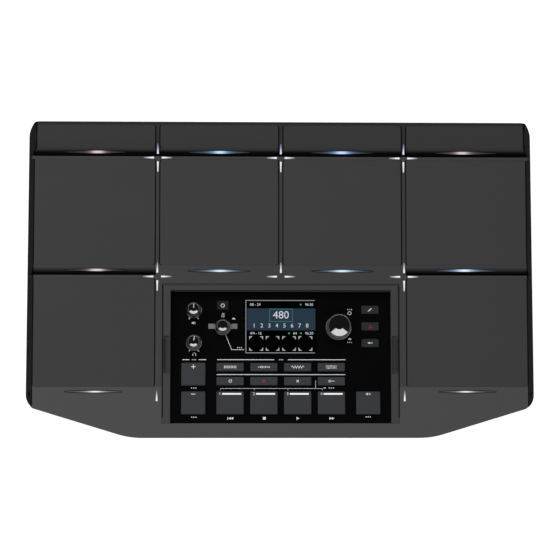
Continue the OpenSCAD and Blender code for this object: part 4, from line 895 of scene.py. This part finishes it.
class Print:
    """Flat marks on one face, in millimetres from a point on it; each becomes a thin raised shape."""

    def __init__(self, level=0.0, u=0.0, v=0.0, place=on_panel):
        self.bm, self.level, self.u, self.v, self.place = bmesh.new(), level, u, v, place

    def at(self, u, v, h):
        return self.place(self.u + u, self.v + v, self.level + h)

    def draw(self, rows):
        """Marks from rows of a method's name and its sizes."""
        for kind, *sizes in rows:
            getattr(self, kind)(*sizes)

    def shape(self, points):
        """Filled outline."""
        low, high = [[self.bm.verts.new(self.at(u, v, h)) for u, v in points] for h in (INK_FOOT, INK)]
        self.bm.faces.new(high)
        self.bm.faces.new(list(reversed(low)))
        skin(self.bm, low, high)

    def bar(self, u0, v0, u1, v1):
        self.shape([(u0, v0), (u1, v0), (u1, v1), (u0, v1)])

    def line(self, points, width):
        """Stroke of even width along points, with mitred corners."""
        left, right = [], []
        for i, (u, v) in enumerate(points):
            before = points[max(i - 1, 0)]
            after = points[min(i + 1, len(points) - 1)]
            ahead = [Vector((b[0] - a[0], b[1] - a[1])).normalized() for a, b in
                     ((before, (u, v)), ((u, v), after)) if a != b]
            mean = sum(ahead, Vector((0, 0))).normalized()
            stretch = 1 / max(mean.dot(ahead[0]), 0.4)
            side = Vector((-mean.y, mean.x)) * width / 2 * stretch
            left.append((u + side.x, v + side.y))
            right.append((u - side.x, v - side.y))
        self.shape(right + left[::-1])

    def disc(self, u, v, radius, start=0, stop=360, steps=28):
        points = round_points(u, v, radius, start, stop, steps)
        self.shape(points[:-1] if stop - start >= 360 else points)

    def arc(self, u, v, radius, width, start, stop, steps=28):
        self.line(round_points(u, v, radius, start, stop, steps), width)

    def ring(self, u, v, radius, width):
        self.arc(u, v, radius, width, 0, 180)
        self.arc(u, v, radius, width, 180, 360)

    def frame(self, u0, v0, u1, v1, width):
        self.bar(u0, v0, u0 + width, v1)
        self.bar(u1 - width, v0, u1, v1)
        self.bar(u0 + width, v0, u1 - width, v0 + width)
        self.bar(u0 + width, v1 - width, u1 - width, v1)

    def levels(self, u, v, heights, step, width):
        """Upright bars side by side, centred."""
        for i, height in enumerate(heights):
            at = u + (i - (len(heights) - 1) / 2) * step
            self.bar(at - width / 2, v - height / 2, at + width / 2, v + height / 2)

    def dots(self, u, v, size, step):
        """Three square dots in the place of a word."""
        self.levels(u, v, (size,) * 3, step, size)

    def arrow(self, u, v, size, turn):
        """Solid triangle that points along turn degrees."""
        turns = [math.radians(turn + a) for a in (0, 125, 235)]
        self.shape([(u + size * math.cos(t), v + size * math.sin(t)) for t in turns])

    def bracket(self, u, v, right, up, reach=3.2):
        """Filled corner that opens right or left (1 or -1) and up or down (1 or -1)."""
        ends = [(u + right * reach, v), (u + right * reach * 0.4, v + up * reach * 0.4), (u, v + up * reach)]
        self.shape([(u, v), *ends] if right * up > 0 else [*reversed(ends), (u, v)])

    def speaker(self, u, v, size):
        """Loudspeaker sign."""
        half = [(-0.5, 0.16), (-0.25, 0.16), (0.05, 0.42)]
        outline = [(a, -b) for a, b in half] + half[::-1]
        self.shape([(u + a * size, v + b * size) for a, b in outline])

    def waves(self, u, v, size):
        """Sound waves beside a loudspeaker sign."""
        for reach in (0.22, 0.42):
            self.arc(u + 0.05 * size, v, reach * size, 0.1 * size, -50, 50, 10)

    def headphones(self, u, v, size):
        self.arc(u, v - 0.05 * size, 0.38 * size, 0.1 * size, 0, 180, 16)
        for ear in (u - 0.38 * size, u + 0.38 * size):
            self.bar(ear - 0.09 * size, v - 0.42 * size, ear + 0.09 * size, v - 0.05 * size)

    def pendulum(self, u, v, size):
        """Metronome sign."""
        case = [(-0.34, -0.42), (-0.14, 0.42), (0.14, 0.42), (0.34, -0.42)]
        self.line([(u + a * size, v + b * size) for a, b in case], 0.09 * size)
        self.bar(u - 0.38 * size, v - 0.46 * size, u + 0.38 * size, v - 0.37 * size)
        self.line([(u, v - 0.34 * size), (u + 0.32 * size, v + 0.36 * size)], 0.08 * size)

    def number(self, word, u, v, size):
        """Plain digits, centred."""
        curve = bpy.data.curves.new("digits", "FONT")
        curve.body, curve.size, curve.resolution_u = word, size, 4
        curve.align_x, curve.align_y = "CENTER", "CENTER"
        curve.extrude = INK / 2
        holder = bpy.data.objects.new("digits", curve)
        SCENE.collection.objects.link(holder)
        graph = bpy.context.evaluated_depsgraph_get()
        mesh = bpy.data.meshes.new_from_object(holder.evaluated_get(graph), depsgraph=graph)
        bpy.data.objects.remove(holder)
        for vertex in mesh.vertices:
            p = vertex.co
            vertex.co = self.at(u + p.x, v + p.y, p.z + INK / 2)
        self.bm.from_mesh(mesh)
        bpy.data.meshes.remove(mesh)


# Lines, ticks and plain signs on the panel, from its middle.
WHITE_MARKS = [
    *(("bar", u0, -2.5, u1, -1.87) for u0, u1 in ((-90.7, -84.3), (-75.9, -69), (-58.7, -6.1), (6.7, 59.6))),
    ("bar", -59.05, -16.27, 59.5, -15.64),
    *(("disc", u, -2.2, 0.42, 0, 360, 12) for u in (-81.6, -80.1, -78.6, -1.2, 0.3, 1.8)),
    *(("line", ends, 0.7) for ends in ([(-83.3, 38.0), (-85.0, 35.4)], [(-77.75, 38.0), (-75.9, 35.4)],
                                       [(-83.1, 7.8), (-84.7, 5.6)], [(-77.5, 7.8), (-75.5, 5.4)])),
    ("speaker", -80.6, 31.9, 3.4), ("waves", -80.6, 31.9, 3.4),
    ("headphones", -79.8, 2.9, 3.6),
    ("pendulum", -53.4, 39.2, 3.8),
    ("disc", -43.5, 35.3, 1.5, 0, 180, 14), ("disc", 63.8, 16.4, 1.5, 0, 180, 14),
    ("line", [(-51.3, 21.9), (-45.4, 7.15), (-33.7, 7.15)], 0.45),
    ("ring", 63.9, 41.2, 1.5, 0.5), ("arrow", 62.3, 40.9, 0.75, -90),
    *(("dots", u, v, 0.8, 1.7) for u, v in ((-38.0, 9.0), (63.9, 44.6), (63.8, 14.0))),
    *(("dots", u, v, 0.9, 1.9) for u, v in ((-80.1, -28.4), (-79.9, -55.3), (80.4, -54.9), (46.6, -28.3))),
    *(("arrow", u, -56.3, 1.5, turn) for u, turn in ((-46.9, 180), (-44.6, 180), (45.5, 0), (47.8, 0))),
    ("bar", -49.2, -57.5, -48.7, -55.1), ("bar", -16.5, -57.5, -13.9, -55.0), ("arrow", 15.4, -56.3, 1.7, 0),
    ("bar", 39.3, -28.6, 41.6, -28.0), ("bar", -55.6, -28.95, 38.2, -28.65),
    *(("bar", u - 0.15, -30.3, u + 0.15, -29.0) for u in (-55.6, -24.3, 6.6, 38.2)),
    ("bar", 31.9, -28.6, 32.2, -21.5),
]
GREY_MARKS = [("bar", -66.85, 26.5, -61.1, 31.2), ("bar", -46.0, 26.5, -40.2, 31.2)]
# Plain signs on the buttons, from each button's middle.
BUTTON_MARKS = {
    "mode_button_1": [("frame", u - 1.1, -1.1, u + 1.1, 1.1, 0.5) for u in (-4.5, -1.5, 1.5, 4.5)],
    "mode_button_2": [("levels", 0, 0, (0.9, 1.7, 2.3, 1.3, 2.0, 1.0, 1.8), 1.6, 0.8)],
    "mode_button_3": [("line", [(1.2 * i - 6, (0 if i in (0, 10) else 1.1 if i % 2 else -1.1))
                                for i in range(11)], 0.5)],
    "mode_button_4": [*(("bar", -5, v - 0.18, 5, v + 0.18) for v in (-1.1, 0, 1.1)),
                      *(("bar", u - 0.45, v - 0.5, u + 0.45, v + 0.5)
                        for u, v in ((-2.4, -1.1), (2.6, 0), (-0.5, 1.1)))],
    "function_button_1": [("arc", 0, 0, 1.2, 0.5, 60, 360, 20), ("arrow", 1.2, 0.9, 0.9, 80)],
    "function_button_2": [("disc", 0, 0, 1.35)],
    "function_button_3": [("line", ends, 0.6) for ends in (
        [(-1.1, -1.1), (1.1, 1.1)], [(-1.1, 1.1), (-0.25, 0.25)], [(0.25, -0.25), (1.1, -1.1)])],
    "function_button_4": [("ring", -1.6, 0, 0.9, 0.5), ("bar", -0.5, -0.25, 3.0, 0.25)],
    "edit_button": [("line", [(-1.4, -1.3), (1.3, 1.2)], 0.8), ("bar", -2.2, -1.6, -1.6, -1.2)],
    "write_button": [("bar", -0.3, 0.1, 0.3, 1.4), ("arrow", 0, -0.2, 1.0, -90),
                     ("line", [(-1.8, -0.5), (-1.8, -1.5), (1.8, -1.5), (1.8, -0.5)], 0.45)],
    "exit_button": [("bar", -0.8, -0.28, 2.2, 0.28), ("arrow", -1.3, 0, 1.3, 180)],
    "power_button": [("arc", 0, -0.2, 1.6, 0.5, 125, 415, 24), ("bar", -0.27, 0.3, 0.27, 2.0)],
    "plus_button": [("bar", -2.0, 6.4, 2.0, 7.1), ("bar", -0.35, 7.1, 0.35, 8.7),
                    ("bar", -0.35, 4.8, 0.35, 6.4)],
    "minus_button": [("bar", -2.0, 7.6, 2.0, 8.3)],
    "mute_button": [("speaker", -0.6, 8.1, 3.2), *(("line", ends, 0.45) for ends in (
        [(0.4, 7.3), (2.0, 8.9)], [(0.4, 8.9), (1.0, 8.3)], [(1.4, 7.9), (2.0, 7.3)]))],
    **{f"track_button_{n}": [("number", str(n), -9.3, 8.2, 3.7)] for n in (1, 2, 3, 4)},
}
TRACK_LAMP = [("bar", -7.3, 7.45, 10.2, 8.95)]
RED_MARKS = {"function_button_2", "write_button"}
SCREEN_SLOTS = ((-29.1, -16.3), (-13.75, -1.35), (1.45, 13.95), (16.4, 29.2))
SMALL_NUMBERS = (("4/4 - 16", -23, 22.3), ("64", 13.2, 22.3), ("96.50", 26.4, 22.3), ("08 - 24", -23.6, 49.1),
                 ("96.50", 26.4, 49.1))
# Layers of the lit picture: name, finish, number of layers under it, marks from the panel's middle.
SCREEN_LAYERS = [
    ("border", "screen_line", 0, [("line", [(31.6, 53.0), (-32.2, 53.0), (-32.2, 4.2), (31.6, 4.2)], 0.65)]),
    ("band", "screen_band", 0, [("bar", -31.0, 25.2, 32.2, 45.6)]),
    ("number_box", "screen_teal", 1, [("frame", -10.5, 33.1, 11.1, 45.2, 0.55)]),
    ("number", "screen_text", 1, [("number", "480", 0.3, 39.2, 10.0)]),
    ("words", "screen_text", 2, [("number", str(i + 1), 7 * i - 24.5, 29.4, 5.4) for i in range(8)]),
    ("small_words", "screen_text", 0, [("number", *row, 3.4) for row in SMALL_NUMBERS]),
    ("brackets", "screen_grey", 0, [("bracket", u, v, right, up) for slot in SCREEN_SLOTS
                                    for u, right in zip(slot, (1, -1)) for v, up in ((19.6, -1), (6.2, 1))]),
    ("lamps", "screen_green", 0, [("bar", u - 0.7, v - 0.7, u + 0.7, v + 0.7)
                                  for u, v in ((7.7, 22.4), (18.7, 22.4), (18.7, 49.2))]),
]


def add_print(name, material, body, slot, rows, *place):
    """Marks in one ink as a piece."""
    mark = Print(*place)
    mark.draw(rows)
    add_piece(name, mesh_from(mark.bm), [material], body, crease=30)


def make_print():
    """Print on the panel's face, and on each button, moving with it."""
    add_print("panel_print_white", "white_ink", "case", "panel_plastic", WHITE_MARKS)
    add_print("panel_print_grey", "grey_ink", "case", "panel_plastic", GREY_MARKS)
    for button, rows in BUTTON_MARKS.items():
        mid_u, mid_v, half, level = panel_place(button)
        tone = "red_ink" if button in RED_MARKS else "white_ink"
        add_print(button + "_mark", tone, BODY_OF[button], "button_plastic", rows, level, mid_u, mid_v)
        if button.startswith("track"):
            add_print(button + "_lamp", "lamp_white", BODY_OF[button], "button_plastic", TRACK_LAMP, level,
                      mid_u, mid_v)


def make_display():
    """Lit picture on the window's face: frame lines, bands, a big number and four slots."""
    level = panel_place("display_window")[3]
    for name, material, under, rows in SCREEN_LAYERS:
        add_print("screen_" + name, material, "case", "display_glass", rows, level + under * INK)


# Rear sockets

# Radius of the nickel rings and of their wire, and size of the numbers and their drop below the rings.
RING_RADIUS, RING_WIRE = 4.2 * MM, 0.35 * MM
JACK_NUMBER_SIZE, JACK_NUMBER_DROP = 2.6, 7.7


def ring_tree():
    """Geometry nodes: a round ring set on every point, standing across the y axis."""
    tree, sockets, given = new_tree("socket rings", ("Ring radius", "Wire radius"))
    path, wire = [tree.node("GeometryNodeCurvePrimitiveCircle", {"Resolution": count, "Radius": given[size]},
                            mode="RADIUS") for size, count in (("Ring radius", 48), ("Wire radius", 10))]
    ring = tree.node("GeometryNodeCurveToMesh", {"Curve": path, "Profile Curve": wire})
    set_on_points(tree, given, ring, (math.pi / 2, 0, 0))
    return tree, sockets


def make_rear():
    """Nickel rings in the phone jacks' mouths and plain numbers under them."""
    boxes = [box_of(solid) for solid in islands("phone_jacks")]
    rear = max(hi.y for lo, hi in boxes)
    collars = [p.co.z for p in NODES["phone_jacks"].data.vertices if p.co.y > rear - 0.05 * MM]
    height = (max(collars) + min(collars)) / 2
    mouths = sorted(((lo.x + hi.x) / 2 for lo, hi in boxes if hi.y > rear - 0.3 * MM), reverse=True)
    tree, sockets = ring_tree()
    values = {"Ring radius": RING_RADIUS, "Wire radius": RING_WIRE, "Finish": MATERIALS["socket_metal"]}
    mesh = grow(points_object([Vector((x, rear, height)) for x in mouths]), tree, sockets, values)
    add_piece("phone_jack_rings", mesh, ["socket_metal"], "case")
    plate_y = max(v.co.y for v in NODES["jack_plate"].data.vertices)

    def on_plate(u, w, h):
        return Vector((-u * MM, plate_y + h * MM, height + w * MM))

    rows = [("number", str(i + 1), -x / MM, -JACK_NUMBER_DROP, JACK_NUMBER_SIZE)
            for i, x in enumerate(mouths)]
    add_print("jack_numbers", "white_ink", "case", "jack_plate_steel", rows, 0.0, 0.0, 0.0, on_plate)


# Studio

# Floor level, radius of the flat floor and of the cove, height of the wall, in metres; sides of the floor.
FLOOR_LEVEL, FLOOR_RADIUS, COVE, WALL_TOP = -0.0005, 3.4, 0.6, 1.2
FLOOR_SIDES = 96
# Area lights: place, target and size in metres, watts, and whether gloss shows them.
LIGHTS = {
    "key_softbox": ((0, 1.17, 2.13), (0, 0, 0.05), (2.25, 1.65), 22.1, False),
    "key_strip": ((0, 0.63, 2.435), (0, 0, 0.05), (1.4, 0.4), 3.9, True),
    "front_card": ((0, -1.3, 1.3), (0, 0, 0.05), (2.4, 0.5), 9, True),
    "side_fill": ((-1.35, 0.6, 1.15), (-0.05, 0, 0.05), (0.8, 0.8), 10, False),
    "front_fill": ((-0.8, -0.9, 1.15), (-0.05, -0.05, 0.05), (0.6, 0.6), 4, False),
}
# Camera fitted to the case's outline: rise, swing and roll in degrees, aim, and distance in millimetres.
CAMERA_TURNS = (78.5729, 7.3274, 7.2904)
CAMERA_AIM = Vector((-0.6993, -0.656, 50)) * MM
CAMERA_DISTANCE = 1799.59


def studio_white():
    """Pale floor that reads white to the camera and in gloss, and keeps the object's shadow."""
    finish = Finish("studio_paper")
    path = finish.node("ShaderNodeLightPath", out="Is Camera Ray")
    seen = path.most(path.output("Is Glossy Ray")).most(path.output("Is Transmission Ray"))
    fibre = finish.noise(3, 3)
    plain = finish.node("ShaderNodeBsdfDiffuse", {"Color": finish.blend(fibre, 0.3, 0.32)})
    bounce = finish.node("ShaderNodeBsdfDiffuse", {"Color": finish.blend(fibre, 0.1, 0.12)})
    shine = finish.node("ShaderNodeEmission", {"Color": (1, 1, 1, 1), "Strength": 0.94})
    white = finish.node("ShaderNodeAddShader", {0: plain, 1: shine})
    paper = finish.node("ShaderNodeMixShader", {0: seen, 1: bounce, 2: white})
    finish.node("ShaderNodeOutputMaterial", {"Surface": paper})
    finish.material.cycles.emission_sampling = "NONE"
    return finish.material


def make_floor():
    """Round floor with a cove and a wall."""
    profile = [(reach, FLOOR_LEVEL) for reach in (0.02, 1.0, FLOOR_RADIUS)]
    for turn in (math.pi / 2 * i / 10 for i in range(1, 11)):
        profile.append((FLOOR_RADIUS + COVE * math.sin(turn), COVE - COVE * math.cos(turn)))
    profile.append((FLOOR_RADIUS + COVE, WALL_TOP))
    turns = [2 * math.pi * i / FLOOR_SIDES for i in range(FLOOR_SIDES)]
    bm = bmesh.new()
    rings = [[bm.verts.new((r * math.cos(a), r * math.sin(a), z)) for a in turns] for r, z in profile]
    for near, far in zip(rings, rings[1:]):
        skin(bm, near, far)
    bm.faces.new(rings[0])
    mesh = bpy.data.meshes.new("studio_floor")
    bm.to_mesh(mesh)
    bm.free()
    mesh.polygons.foreach_set("use_smooth", [True] * len(mesh.polygons))
    mesh.materials.append(studio_white())
    floor = bpy.data.objects.new("studio_floor", mesh)
    SCENE.collection.objects.link(floor)


def make_studio():
    """Floor, key softbox behind and above with a narrow strip for gloss, weak fills, the camera."""
    make_floor()
    for name, (place, target, size, power, gloss) in LIGHTS.items():
        lamp = bpy.data.lights.new(name, "AREA")
        lamp.shape, lamp.size, lamp.size_y, lamp.energy = "RECTANGLE", size[0], size[1], power
        held = bpy.data.objects.new(name, lamp)
        held.location = place
        held.rotation_euler = (Vector(target) - Vector(place)).to_track_quat("-Z", "Y").to_euler()
        held.visible_glossy = gloss
        SCENE.collection.objects.link(held)

    world = bpy.data.worlds.new("studio air")
    world.use_nodes = True
    tree = Tree(world.node_tree)
    air = tree.node("ShaderNodeBackground", {"Color": (1, 1, 1, 1), "Strength": 0.02})
    tree.node("ShaderNodeOutputWorld", {"Surface": air})
    SCENE.world = world

    camera = bpy.data.cameras.new("photo_camera")
    camera.sensor_width, camera.lens, camera.clip_end = 36, 125, 50
    held = bpy.data.objects.new("photo_camera", camera)
    rise, swing, roll = (math.radians(a) for a in CAMERA_TURNS)
    ahead = Vector((math.sin(swing) * math.cos(rise), math.cos(swing) * math.cos(rise), -math.sin(rise)))
    held.location = CAMERA_AIM - ahead * CAMERA_DISTANCE * MM
    turn = ahead.to_track_quat("-Z", "Y").to_matrix() @ Matrix.Rotation(roll, 3, "Z")
    held.rotation_euler = turn.to_euler()
    SCENE.collection.objects.link(held)
    SCENE.camera = held
    SCENE.view_settings.view_transform = "Standard"


dress_nodes()
make_pads()
make_cushions()
make_seal()
make_lights()
make_knobs()
make_print()
make_display()
make_rear()
make_studio()
